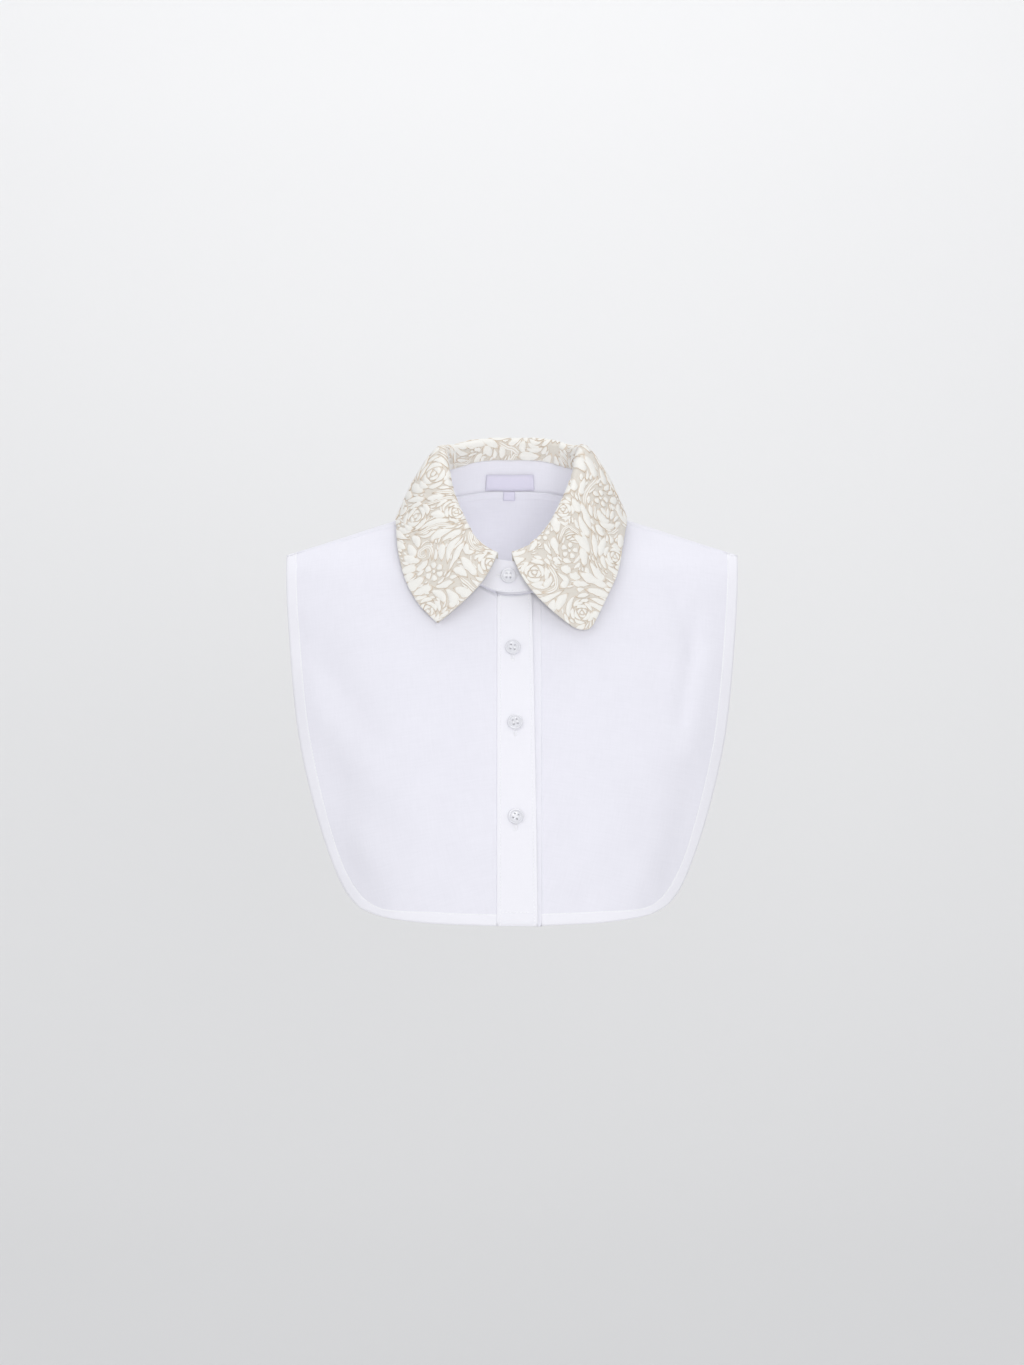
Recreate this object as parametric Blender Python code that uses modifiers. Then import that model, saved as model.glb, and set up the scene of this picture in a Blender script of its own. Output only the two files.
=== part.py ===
# A bib-fronted shirt collar: two short fronts, a short back, a stand and a
# lace-covered collar leaf, filled out as it is when worn. Sizes are in
# millimetres and become metres where a mesh is made. +Z is up, the front faces
# -Y, and the origin is midway between the two side-neck points.

import math
from collections import namedtuple
from functools import lru_cache

import bmesh
import bpy
from mathutils import Matrix, Vector

MM = 0.001

# cloth
PLY = 1.0                 # wall of one cloth
GAP = 0.3                 # between two pieces at a seam
LAYER = PLY + GAP         # from the middle of one cloth to the next
HALF_PAIR = LAYER / 2     # from the middle of a two-ply piece to each ply

# neck and stand
NECK_HALF_WIDTH = 62.0
NECK_MIDDLE = 4.0         # how far behind the origin the side-neck points lie
NECK_FRONT_REACH = 70.0
NECK_BACK_REACH = 46.0
NECK_FRONT_POWER = 2.25
NECK_BACK_POWER = 2.0
STAND_HEIGHT = (28.5, 24.5)       # at the centre back and at the front
STAND_FALL = (60.0, 170.0)        # degrees round between those two heights
STAND_LIFT = (1.3, 1.4)   # clear of the panels' neck edge, at the back and in front
STAND_LEAN = (0.20, 0.12, -0.06)  # inwards: all round, more at the sides, less in front
STAND_LAP = 2.9           # the lapping end lies this far in front of the other
STAND_LAP_FROM = -135.0   # degrees round where the lap begins
STAND_LAP_FULL = -165.0   # and where it is whole
STAND_LAP_LIFT = 0.4      # the lapping end rises by this share of its lap
STAND_END = 196.0         # degrees round from the centre back
STAND_UNDER_END = 189.0   # the same for the end that lies behind
STAND_END_ROUND = 15.0    # degrees over which its top corner is rounded away
STAND_END_HEIGHT = 0.45   # what is left of its height at the very end

# fronts
SHOULDER_TIP = 175.0
SHOULDER_TIP_HEIGHT = -39.5
SHOULDER_SEAM_DROP = (7.0, 2.0)   # below the shoulder line, at neck and tip
SHOULDER_GAP = 0.5        # wider than other seams, because the walls bend to it
SHOULDER_START = 61.6     # across, where the seam leaves the neck
SHOULDER_STEPS = 12
NECK_STEPS = 16
PLACKET_LEFT = -11.2
PLACKET_RIGHT = (15.0, 19.2)      # at the neck and at the hem
PLACKET_PLY = 1.4
BAND_LEFT = -9.0
BAND_RIGHT = 22.0
FRONT_LAP = 1.7           # the lapping front lies this far in front
FRONT_LAP_FADE = (18.0, 60.0)
BOTTOM_HEM = 10.0
SIDE_HEM = 8.0

# label
LABEL_SPAN = (-22.0, 18.5)
LABEL_RISE = (5.0, 17.8)
TAB_SPAN = (-7.2, 2.4)
TAB_RISE = (-2.9, 4.7)
LABEL_PLY = 0.6
LABEL_COLUMNS = 5
TAB_COLUMNS = 2

# buttons
BUTTON_RADIUS = 6.1
BUTTON_THICKNESS = 2.4
BUTTON_RIM = 1.3
BUTTON_SLOPE = (0.5, 0.3)         # the rim's inner slope, inside and outside it
BUTTON_EDGE = 0.6                 # rounding of the edge
BUTTON_BACK = (0.4, 0.3, 1.0)     # taper, its height, and the back's inset
BUTTON_DISH = 0.6
BUTTON_STEPS = 20

FRONT = 1
BACK = -1

# The general figure under the cloth, in level rings. Each ring is an oval:
# front and back are how far it reaches from its middle line.
Ring = namedtuple("Ring", "height half_width middle front back power")
RINGS = (
    Ring(-335, 144, 0, 121.0, 90, 2.60),
    Ring(-300, 152, 0, 121.5, 93, 2.60),
    Ring(-250, 167, 0, 118.5, 97, 2.60),
    Ring(-200, 179, 0, 109.0, 99, 2.50),
    Ring(-150, 189, 0, 95.0, 97, 2.30),
    Ring(-100, 197, 0, 77.5, 90, 2.10),
    Ring(-80, 199, 0, 69.5, 85, 2.05),
    Ring(-60, 197, 1, 61.5, 77, 2.00),
    Ring(-45, 189, 2, 56.0, 69, 2.00),
    Ring(-37, 175.5, 4, 53.0, 64, 2.00),
    Ring(-30, 154, 6, 50.0, 60, 2.00),
    Ring(-20, 123.3, 8, 46.5, 54, 2.00),
    Ring(-10, 92.7, 8, 43.0, 50, 2.00),
    Ring(0, 62, 4, 40.0, 49.5, 2.10),
    Ring(12, 56, 0, 38.0, 49, 2.20),
)
SHOULDER_LOW = -60.0      # the shoulder line is looked for above this height
NECK_DOME = 12.0          # within the neck the figure's top is a low dome
NECK_DOME_POWER = 3.1     # that leaves the shoulder line at its own slope

# The cut edge of one front from the shoulder tip to the centre of the hem.
Edge = namedtuple("Edge", "across height")
FRONT_EDGE = (
    Edge(173.2, -75), Edge(170.2, -111), Edge(166.6, -148), Edge(161.2, -185),
    Edge(152.8, -220), Edge(142.0, -256), Edge(128.4, -291), Edge(122.0, -300.5),
    Edge(112.0, -307.5), Edge(97.0, -312.4), Edge(72.0, -315.6), Edge(48.0, -317.0),
    Edge(0.0, -318.0),
)
FRONT_CORNER = 8          # the edge point where the side becomes the hem
BACK_EDGE = (
    Edge(171.0, -80), Edge(165.5, -115), Edge(159.5, -150), Edge(153.0, -185),
    Edge(145.5, -220), Edge(137.0, -253), Edge(126.5, -283), Edge(119.5, -294.0),
    Edge(108.0, -302.0), Edge(92.0, -307.0), Edge(60.0, -310.0), Edge(0.0, -311.0),
)
BACK_CORNER = 8

# Soft troughs in the fronts: from one end to the other, how wide and how deep.
Trough = namedtuple("Trough", "from_x from_z to_x to_z width depth")
TROUGHS = (
    Trough(-138, -195, -118, -300, 13, 4.5),
    Trough(136, -205, 116, -295, 12, 4.0),
    Trough(-156, -112, -112, -172, 14, 2.0),
    Trough(60, -100, 118, -150, 20, 1.2),
)
TROUGH_ENDS = (0.35, 0.25)        # shares of its length past and before each end

# The collar leaf at angles round from the centre back: how high it rises from
# the stand before it folds, the fold's radius, and where its outer edge lies,
# across, below the shoulder line (minus is behind it) and off the figure.
Leaf = namedtuple("Leaf", "angle rise fold across drop lift")
LEAF_RIGHT_SIDE = (
    Leaf(-172, 0.9, 2.4, -56.0, 96.8, 4.2),
    Leaf(-160, 2.4, 2.8, -71.0, 75.0, 4.2),
    Leaf(-150, 4.6, 3.2, -81.0, 53.0, 4.0),
    Leaf(-135, 7.0, 3.6, -86.5, 30.0, 4.0),
    Leaf(-120, 10.0, 4.0, -87.5, 13.0, 3.8),
    Leaf(-105, 12.0, 4.4, -88.0, 4.5, 3.4),
    Leaf(-90, 13.0, 4.6, -86.0, 0.1, 3.2),
    Leaf(-75, 13.0, 4.8, -80.0, -2.1, 3.2),
    Leaf(-55, 12.0, 5.0, -63.0, -7.4, 3.2),
    Leaf(-30, 11.4, 5.0, -36.0, -15.3, 3.2),
)
LEAF_BACK = (
    Leaf(0, 11.2, 5.0, 0.0, -16.0, 3.2),
)
LEAF_LEFT_SIDE = (
    Leaf(30, 11.4, 5.0, 36.0, -15.3, 3.2),
    Leaf(55, 12.0, 5.0, 63.0, -7.4, 3.2),
    Leaf(75, 13.0, 4.8, 80.0, -2.1, 3.2),
    Leaf(90, 14.0, 4.6, 85.5, 0.1, 3.2),
    Leaf(105, 14.5, 4.4, 87.0, 4.5, 3.4),
    Leaf(120, 15.0, 4.2, 86.5, 12.0, 4.0),
    Leaf(135, 15.0, 4.0, 84.0, 27.0, 4.4),
    Leaf(150, 13.0, 3.8, 79.5, 50.5, 4.8),
    Leaf(162, 10.0, 3.6, 71.5, 70.0, 5.4),
    Leaf(172, 6.0, 3.5, 62.0, 93.0, 6.0),
    Leaf(176, 4.5, 3.5, 56.5, 102.5, 6.2),
    Leaf(180, 3.0, 3.5, 45.5, 105.4, 6.4),
)
LEAF_ROWS = LEAF_RIGHT_SIDE + LEAF_BACK + LEAF_LEFT_SIDE
LEAF_RISE_PART = 0.25     # share of the grid on the rise
LEAF_FOLD_PART = 0.625    # and up to the end of the fold
LEAF_FOLD_TURN = 150.0    # degrees
LEAF_ROOT = 0.85          # above the stand's top edge
LEAF_PULL = 0.33          # how far the fall keeps each end's direction

Place = namedtuple("Place", "across height")
PLACKET_BUTTONS = (Place(0.8, -111.5), Place(2.6, -167.5), Place(3.0, -237.0))
STAND_BUTTON = (-178.5, 13.5)     # degrees round, and up the stand

# grids
SHOULDER_COLUMNS = 7      # columns of a panel that start at the shoulder seam
FRONT_NECK_COLUMNS = 6    # and at the neck
BACK_NECK_COLUMNS = 4
FRONT_ROWS = 19
BACK_ROWS = 17
EDGE_STEPS = 12           # in-between points on a cut edge
RELAX_ROUNDS = 20         # of the back's shoulders, past the corner of its neck line
STAND_COLUMNS = 42
STAND_ROWS = 2
LEAF_STEPS = 2            # columns between two rows of the leaf table
LEAF_GRID_ROWS = 8
PLACKET_COLUMNS = 3

# small steps for measuring slopes, and halvings when a place is looked for
FIGURE_STEP = 0.02
SEAM_STEP = 0.05
TURN_STEP = 1.5
LEAF_TURN_STEP = 0.5
LEAF_SHARE_STEP = 0.004
HALVINGS = 34
SWING_MOST = 12.0


# ---- reading tables ----

def hermite(low, high, slope_low, slope_high, share):
    s2 = share * share
    s3 = s2 * share
    return (low * (2 * s3 - 3 * s2 + 1) + slope_low * (s3 - 2 * s2 + share)
            + high * (3 * s2 - 2 * s3) + slope_high * (s3 - s2))


def read(rows, key, column, value):
    """A column's value between two rows, smooth through every row."""
    keys = [getattr(row, key) for row in rows]
    values = [getattr(row, column) for row in rows]
    last = len(rows) - 2
    index = 0
    while index < last and value > keys[index + 1]:
        index += 1
    span = keys[index + 1] - keys[index]

    def slope(at):
        before = max(at - 1, 0)
        after = min(at + 1, len(rows) - 1)
        return (values[after] - values[before]) / (keys[after] - keys[before])

    share = min(max((value - keys[index]) / span, 0.0), 1.0)
    return hermite(values[index], values[index + 1], slope(index) * span,
                   slope(index + 1) * span, share)


def ease(low, high, value):
    share = min(max((value - low) / (high - low), 0.0), 1.0)
    return share * share * (3 - 2 * share)


def blend(first, second, share):
    return first + (second - first) * share


# ---- the general figure ----
# A place on it is given by how far across it is and by its swing: the square
# root of its drop below the shoulder line, positive in front, negative behind.

@lru_cache(maxsize=None)
def ring_width(height):
    return read(RINGS, "height", "half_width", height)


@lru_cache(maxsize=None)
def shoulder_height(across):
    if abs(across) <= NECK_HALF_WIDTH:
        return NECK_DOME * (1 - (abs(across) / NECK_HALF_WIDTH) ** NECK_DOME_POWER)
    low = SHOULDER_LOW
    high = NECK_DOME
    for _ in range(HALVINGS):
        middle = (low + high) / 2
        if ring_width(middle) > abs(across):
            low = middle
        else:
            high = middle
    return low


def trough_depth(across, height):
    depth = 0.0
    past, before = TROUGH_ENDS
    for trough in TROUGHS:
        start = Vector((trough.from_x, trough.from_z))
        run = Vector((trough.to_x, trough.to_z)) - start
        here = Vector((across, height)) - start
        along = here.dot(run) / run.length_squared
        away = abs(here.cross(run)) / run.length
        ends = ease(-past, before, along) * (1 - ease(1 - before, 1 + past, along))
        depth += trough.depth * ends * math.exp(-(away / trough.width) ** 2)
    return depth


@lru_cache(maxsize=None)
def figure(across, swing):
    height = shoulder_height(across) - swing * swing
    side = FRONT if swing >= 0 else BACK
    column = "front" if side == FRONT else "back"
    power = read(RINGS, "height", "power", height)
    share = min(abs(across) / ring_width(height), 1.0)
    reach = read(RINGS, "height", column, height) * (1 - share ** power) ** (1 / power)
    if side == FRONT:
        reach -= trough_depth(across, height)
    return Vector((across, read(RINGS, "height", "middle", height) - side * reach, height))


def swing_at(across, height, side):
    return side * math.sqrt(max(shoulder_height(across) - height, 0.0))


def off_figure(across, swing, out):
    """A place on the figure, moved out square to it."""
    step = FIGURE_STEP
    by_across = figure(across + step, swing) - figure(across - step, swing)
    by_swing = figure(across, swing + step) - figure(across, swing - step)
    return figure(across, swing) + by_swing.cross(by_across).normalized() * out


def swing_in_plan(across, back):
    """The swing of the place that lies so far behind the origin."""
    top = figure(across, 0.0)
    side = BACK if back > top.y else FRONT
    low = 0.0
    high = SWING_MOST
    for _ in range(HALVINGS):
        middle = (low + high) / 2
        if side * (top.y - figure(across, side * middle).y) < side * (top.y - back):
            low = middle
        else:
            high = middle
    return side * low


# ---- neck seam and stand ----

def neck_plan(angle):
    turn = math.radians(angle)
    sine = math.sin(turn)
    cosine = math.cos(turn)
    if cosine >= 0:
        power = 2 / NECK_BACK_POWER
        back = NECK_MIDDLE + NECK_BACK_REACH * cosine ** power
    else:
        power = 2 / NECK_FRONT_POWER
        back = NECK_MIDDLE - NECK_FRONT_REACH * (-cosine) ** power
    return math.copysign(NECK_HALF_WIDTH * abs(sine) ** power, sine), back


@lru_cache(maxsize=None)
def neck_seam(angle):
    across, back = neck_plan(angle)
    return across, swing_in_plan(across, back)


@lru_cache(maxsize=None)
def stand_frame(angle):
    """The seam point, the way up the stand and the way out of it."""
    base = figure(*neck_seam(angle))
    ahead = Vector(neck_plan(angle + TURN_STEP))
    behind = Vector(neck_plan(angle - TURN_STEP))
    run = (ahead - behind).normalized()
    outward = Vector((run.y, -run.x, 0.0))
    if outward.dot(Vector((base.x, base.y - NECK_MIDDLE, 0.0))) < 0:
        outward = -outward
    turn = math.radians(angle)
    all_round, at_sides, in_front = STAND_LEAN
    lean = all_round + at_sides * math.sin(turn) ** 2 + in_front * (1 - math.cos(turn))
    up = (Vector((0, 0, 1)) - outward * lean).normalized()
    out = (outward + Vector((0, 0, lean))).normalized()
    return base, up, out


def stand_lap(angle):
    return STAND_LAP * ease(STAND_LAP_FROM, STAND_LAP_FULL, angle)


def stand_height(angle):
    past = max(abs(angle) - (STAND_END - STAND_END_ROUND), 0.0) / STAND_END_ROUND
    full = blend(*STAND_HEIGHT, ease(*STAND_FALL, abs(angle)))
    return full * blend(STAND_END_HEIGHT, 1.0, math.sqrt(max(1 - past * past, 0.0)))


def on_stand(angle, rise, out):
    base, up, outward = stand_frame(angle)
    lap = stand_lap(angle)
    lift = blend(*STAND_LIFT, ease(*STAND_FALL, abs(angle))) + STAND_LAP_LIFT * lap
    return base + up * (lift + rise) + outward * (out + lap)


# ---- the collar leaf ----

@lru_cache(maxsize=None)
def leaf_edge(angle):
    """The leaf's outer edge: a smooth line through its rows' places."""
    index = 0
    while index < len(LEAF_ROWS) - 2 and angle > LEAF_ROWS[index + 1].angle:
        index += 1
    places = []
    for at in range(index - 1, index + 3):
        row = LEAF_ROWS[min(max(at, 0), len(LEAF_ROWS) - 1)]
        swing = math.copysign(math.sqrt(abs(row.drop)), row.drop)
        places.append((row.angle, off_figure(row.across, swing, row.lift)))
    span = places[2][0] - places[1][0]
    share = (angle - places[1][0]) / span
    slope_low = (places[2][1] - places[0][1]) / max(places[2][0] - places[0][0], 1) * span
    slope_high = (places[3][1] - places[1][1]) / max(places[3][0] - places[1][0], 1) * span
    return hermite(places[1][1], places[2][1], slope_low, slope_high, share)


def on_leaf(angle, share):
    """The middle of the leaf, from the stand's top edge over to its outer edge."""
    root = on_stand(angle, stand_height(angle) + LEAF_ROOT, 0.0)
    _, up, out = stand_frame(angle)
    rise = read(LEAF_ROWS, "angle", "rise", angle)
    fold = read(LEAF_ROWS, "angle", "fold", angle)
    if share <= LEAF_RISE_PART:
        return root + up * rise * (share / LEAF_RISE_PART)
    middle = root + up * rise + out * fold
    turned = (share - LEAF_RISE_PART) / (LEAF_FOLD_PART - LEAF_RISE_PART)
    turn = math.radians(LEAF_FOLD_TURN) * min(turned, 1.0)
    start = middle + (up * math.sin(turn) - out * math.cos(turn)) * fold
    if share <= LEAF_FOLD_PART:
        return start
    leaving = up * math.cos(turn) + out * math.sin(turn)
    end = leaf_edge(angle)
    reach = (end - start).length
    first = start + leaving * reach * LEAF_PULL
    last = end - (end - first).normalized() * reach * LEAF_PULL
    part = (share - LEAF_FOLD_PART) / (1 - LEAF_FOLD_PART)
    rest = 1 - part
    return (start * rest ** 3 + first * 3 * rest * rest * part
            + last * 3 * rest * part * part + end * part ** 3)


def off_leaf(angle, share, out):
    """A place on the leaf, moved out on the outer side of its fall."""
    low = max(share - LEAF_SHARE_STEP, 0.0)
    high = min(share + LEAF_SHARE_STEP, 1.0)
    around = on_leaf(angle + LEAF_TURN_STEP, share) - on_leaf(angle - LEAF_TURN_STEP, share)
    over = on_leaf(angle, high) - on_leaf(angle, low)
    return on_leaf(angle, share) + around.cross(over).normalized() * out


# ---- panels ----
# A panel's grid is spread evenly in levels: heights on a front, and swings on
# the back, which crosses the shoulder line.

def level_of(place, side):
    across, swing = place
    if side == FRONT:
        return Vector((across, shoulder_height(across) - swing * swing))
    return Vector((across, swing))


def place_of(level, side):
    if side == FRONT:
        return level.x, swing_at(level.x, level.y, FRONT)
    return level.x, level.y


def point_of(level, side):
    return figure(*place_of(level, side))


def spread(path, side, shares):
    """Levels at shares of a path's length."""
    lengths = [0.0]
    for first, second in zip(path, path[1:]):
        step = (point_of(second, side) - point_of(first, side)).length
        lengths.append(lengths[-1] + step)
    found = []
    for share in shares:
        wanted = lengths[-1] * share
        index = 0
        while index < len(path) - 2 and lengths[index + 1] < wanted:
            index += 1
        part = (wanted - lengths[index]) / (lengths[index + 1] - lengths[index])
        found.append(path[index].lerp(path[index + 1], part))
    return found


def length_of(path, side):
    points = [point_of(level, side) for level in path]
    return sum((after - before).length for before, after in zip(points, points[1:]))


def edge_path(edge, tip, side):
    """A panel's cut edge in levels, with in-between points on a curve."""
    corners = [Vector((SHOULDER_TIP, SHOULDER_TIP_HEIGHT))]
    corners += [Vector((point.across, point.height)) for point in edge]
    path = [tip]
    for index in range(len(corners) - 1):
        before = corners[max(index - 1, 0)]
        after = corners[min(index + 2, len(corners) - 1)]
        slope_low = (corners[index + 1] - before) / 2
        slope_high = (after - corners[index]) / 2
        for step in range(EDGE_STEPS):
            spot = hermite(corners[index], corners[index + 1], slope_low,
                           slope_high, step / EDGE_STEPS)
            path.append(level_of((spot.x, swing_at(spot.x, spot.y, side)), side))
    path.append(level_of((corners[-1].x, swing_at(*corners[-1], side)), side))
    return path


def seam_drop(across):
    share = (abs(across) - NECK_HALF_WIDTH) / (SHOULDER_TIP - NECK_HALF_WIDTH)
    return blend(*SHOULDER_SEAM_DROP, min(max(share, 0.0), 1.0))


def shoulder_seam(side):
    """The seam from the neck to the tip; each panel stops half a gap from it."""
    path = []
    for index in range(SHOULDER_STEPS + 1):
        across = blend(SHOULDER_START, SHOULDER_TIP, index / SHOULDER_STEPS)
        swing = math.sqrt(seam_drop(across))
        step = (figure(across, swing + SEAM_STEP) - figure(across, swing - SEAM_STEP)).length
        half_gap = SHOULDER_GAP / 2 * (2 * SEAM_STEP / step)
        path.append(level_of((across, swing + side * half_gap), side))
    return path


def neck_path(first, last, side):
    angles = [blend(first, last, index / NECK_STEPS) for index in range(NECK_STEPS + 1)]
    return [level_of(neck_seam(angle), side) for angle in angles]


def angle_where(test, low, high):
    for _ in range(HALVINGS):
        middle = (low + high) / 2
        if test(middle):
            low = middle
        else:
            high = middle
    return low


SEAM_ANGLE = angle_where(lambda a: neck_seam(a)[1] < math.sqrt(seam_drop(0)), 90.0, 150.0)


def neck_angle_at(across):
    return angle_where(lambda a: neck_plan(a)[0] > across, 91.0, 180.0)


def shares_to_hem(count, path, side, hem):
    """Even steps along a path, with the last one just as wide as the hem."""
    inner = 1 - hem / length_of(path, side)
    return [index / (count - 1) * inner for index in range(count)] + [1.0]


def relax(grid, first_column):
    """Even out a grid's inner places; its edges and hem lines stay."""
    for _ in range(RELAX_ROUNDS):
        for row in range(1, len(grid) - 2):
            for column in range(first_column, len(grid[0]) - 2):
                up_down = grid[row - 1][column] + grid[row + 1][column]
                grid[row][column] = (up_down + grid[row][column - 1] + grid[row][column + 1]) / 4


class Panel:
    """Half a panel: a grid of figure places between its four sewn or cut lines."""

    def __init__(self, side, inner, edge, corner, neck_columns, rows):
        columns = neck_columns + SHOULDER_COLUMNS
        shoulder = shoulder_seam(side)
        start = neck_angle_at(inner) if side == FRONT else 0.0
        neck = neck_path(start, SEAM_ANGLE, side)
        neck[-1] = shoulder[0]
        outline = edge_path(edge, shoulder[-1], side)
        split = 1 + (corner + 1) * EDGE_STEPS
        side_line = outline[:split + 1]
        hem = outline[split:][::-1]
        if inner:
            hem = [Vector((inner, hem[0].y))] + [p for p in hem if p.x > inner + 1.0]
        top = spread(neck, side, [index / neck_columns for index in range(neck_columns)])
        top += spread(shoulder, side,
                      shares_to_hem(SHOULDER_COLUMNS, shoulder, side, SIDE_HEM))
        across_shares = shares_to_hem(columns, hem, side, SIDE_HEM)
        down_shares = shares_to_hem(rows, side_line, side, BOTTOM_HEM)
        low = spread(hem, side, across_shares)
        outer = spread(side_line, side, down_shares)
        self.columns = columns
        self.rows = rows
        grid = []
        for v, right in zip(down_shares, outer):
            left = top[0].lerp(low[0], v)
            row = []
            for u, above, below in zip(across_shares, top, low):
                corners = (top[0] * (1 - u) * (1 - v) + top[-1] * u * (1 - v)
                           + low[0] * (1 - u) * v + low[-1] * u * v)
                level = above * (1 - v) + below * v + left * (1 - u) + right * u - corners
                row.append(level)
            grid.append(row)
        if side == BACK:
            relax(grid, neck_columns)
        self.places = [[place_of(level, side) for level in row] for row in grid]

    def surface(self, mirror, out):
        """A function from a grid place to a point off the panel's middle."""
        def point(column, row):
            sign = mirror if mirror else math.copysign(1, column)
            across, swing = self.places[row][abs(column)]
            return off_figure(sign * across, swing, out(sign * across))
        return point


def front_lap(across):
    return FRONT_LAP * (1 - ease(*FRONT_LAP_FADE, -across))


# ---- making objects ----

def material(name, colour, roughness):
    made = bpy.data.materials.new(name)
    made.use_nodes = True
    shader = made.node_tree.nodes["Principled BSDF"]
    shader.inputs["Base Color"].default_value = (*colour, 1.0)
    shader.inputs["Roughness"].default_value = roughness
    shader.inputs["Metallic"].default_value = 0.0
    made.diffuse_color = (*colour, 1.0)
    return made


def cloth(name, columns, rows, point, finish, ply=PLY, kept=None):
    """A grid laid over a surface and given the cloth's thickness."""
    first_column, last_column = columns
    first_row, last_row = rows
    wide = last_column - first_column
    tall = last_row - first_row
    shape = bmesh.new()
    bmesh.ops.create_grid(shape, x_segments=wide, y_segments=tall, size=0.5)
    if kept:
        spare = []
        for face in shape.faces:
            middle = face.calc_center_median()
            column = first_column + math.floor((middle.x + 0.5) * wide)
            row = first_row + math.floor((middle.y + 0.5) * tall)
            if not kept(column, row):
                spare.append(face)
        bmesh.ops.delete(shape, geom=spare, context="FACES")
    for vertex in shape.verts:
        column = first_column + round((vertex.co.x + 0.5) * wide)
        row = first_row + round((vertex.co.y + 0.5) * tall)
        vertex.co = point(column, row) * MM
    bmesh.ops.recalc_face_normals(shape, faces=shape.faces)
    mesh = bpy.data.meshes.new(name)
    shape.to_mesh(mesh)
    shape.free()
    mesh.materials.append(finish)
    made = bpy.data.objects.new(name, mesh)
    parts.objects.link(made)
    wall = made.modifiers.new("wall", "SOLIDIFY")
    wall.thickness = ply * MM
    wall.offset = 0.0
    wall.use_even_offset = False
    return made


def build_fronts(finish):
    for name, mirror, inner, lap in (
            ("front_right", -1, -PLACKET_LEFT + GAP, front_lap),
            ("front_left", 1, BAND_RIGHT + GAP, lambda across: 0.0)):
        panel = Panel(FRONT, inner, FRONT_EDGE, FRONT_CORNER, FRONT_NECK_COLUMNS, FRONT_ROWS)
        inside = panel.surface(mirror, lambda across, lap=lap: lap(across) - LAYER)
        wide = panel.columns
        tall = panel.rows
        cloth(name, (0, wide), (0, tall), panel.surface(mirror, lap), finish)
        cloth("hem_" + name, (0, wide), (0, tall), inside, finish,
              kept=lambda column, row: column == wide - 1 or row == tall - 1)


def build_back(finish):
    panel = Panel(BACK, 0.0, BACK_EDGE, BACK_CORNER, BACK_NECK_COLUMNS, BACK_ROWS)
    inside = panel.surface(0, lambda across: -LAYER)
    half = panel.columns
    tall = panel.rows
    cloth("back", (-half, half), (0, tall), panel.surface(0, lambda across: 0.0), finish)
    cloth("hem_back", (-half, half), (0, tall), inside, finish,
          kept=lambda column, row: column in (-half, half - 1) or row == tall - 1)


def build_placket(finish):
    """The placket lies on the button band; both run from the neck to the hem."""
    hem = swing_at(0.0, FRONT_EDGE[-1].height, FRONT)
    columns = PLACKET_COLUMNS

    def strip(left, right, out):
        def point(column, row):
            down = row / FRONT_ROWS
            across = blend(left, blend(*right, down), column / columns)
            angle = 180.0 - math.copysign(180.0 - neck_angle_at(abs(across)), across)
            top = neck_seam(angle)[1]
            return off_figure(across, blend(top, hem, down), out)
        return point

    cloth("placket", (0, columns), (0, FRONT_ROWS),
          strip(PLACKET_LEFT, PLACKET_RIGHT, FRONT_LAP), finish, PLACKET_PLY)
    cloth("button_band", (0, columns), (0, FRONT_ROWS),
          strip(BAND_LEFT, (BAND_RIGHT, BAND_RIGHT), 0.0), finish)


def build_stand(finish):
    def ply(out):
        def point(column, row):
            angle = blend(-STAND_END, STAND_UNDER_END, column / STAND_COLUMNS)
            return on_stand(angle, stand_height(angle) * row / STAND_ROWS, out)
        return point

    cloth("stand_outer", (0, STAND_COLUMNS), (0, STAND_ROWS), ply(HALF_PAIR), finish)
    cloth("stand_inner", (0, STAND_COLUMNS), (0, STAND_ROWS), ply(-HALF_PAIR), finish)


def build_leaf(upper, under):
    angles = [LEAF_ROWS[0].angle]
    for before, after in zip(LEAF_ROWS, LEAF_ROWS[1:]):
        for step in range(LEAF_STEPS):
            angles.append(blend(before.angle, after.angle, (step + 1) / LEAF_STEPS))
    columns = len(angles) - 1

    def ply(out):
        return lambda column, row: off_leaf(angles[column], row / LEAF_GRID_ROWS, out)

    cloth("leaf_upper", (0, columns), (0, LEAF_GRID_ROWS), ply(HALF_PAIR), upper)
    cloth("leaf_under", (0, columns), (0, LEAF_GRID_ROWS), ply(-HALF_PAIR), under)


def build_labels(finish):
    def strip(span, rise, out, columns):
        def point(column, row):
            across = blend(*span, column / columns)
            angle = math.degrees(math.asin(across / NECK_HALF_WIDTH))
            return on_stand(angle, blend(*rise, row), out)
        return point

    behind = -HALF_PAIR - PLY / 2 - GAP - LABEL_PLY / 2
    cloth("neck_label", (0, LABEL_COLUMNS), (0, 1),
          strip(LABEL_SPAN, LABEL_RISE, behind, LABEL_COLUMNS), finish, LABEL_PLY)
    cloth("size_tab", (0, TAB_COLUMNS), (0, 1),
          strip(TAB_SPAN, TAB_RISE, behind, TAB_COLUMNS), finish, LABEL_PLY)


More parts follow.
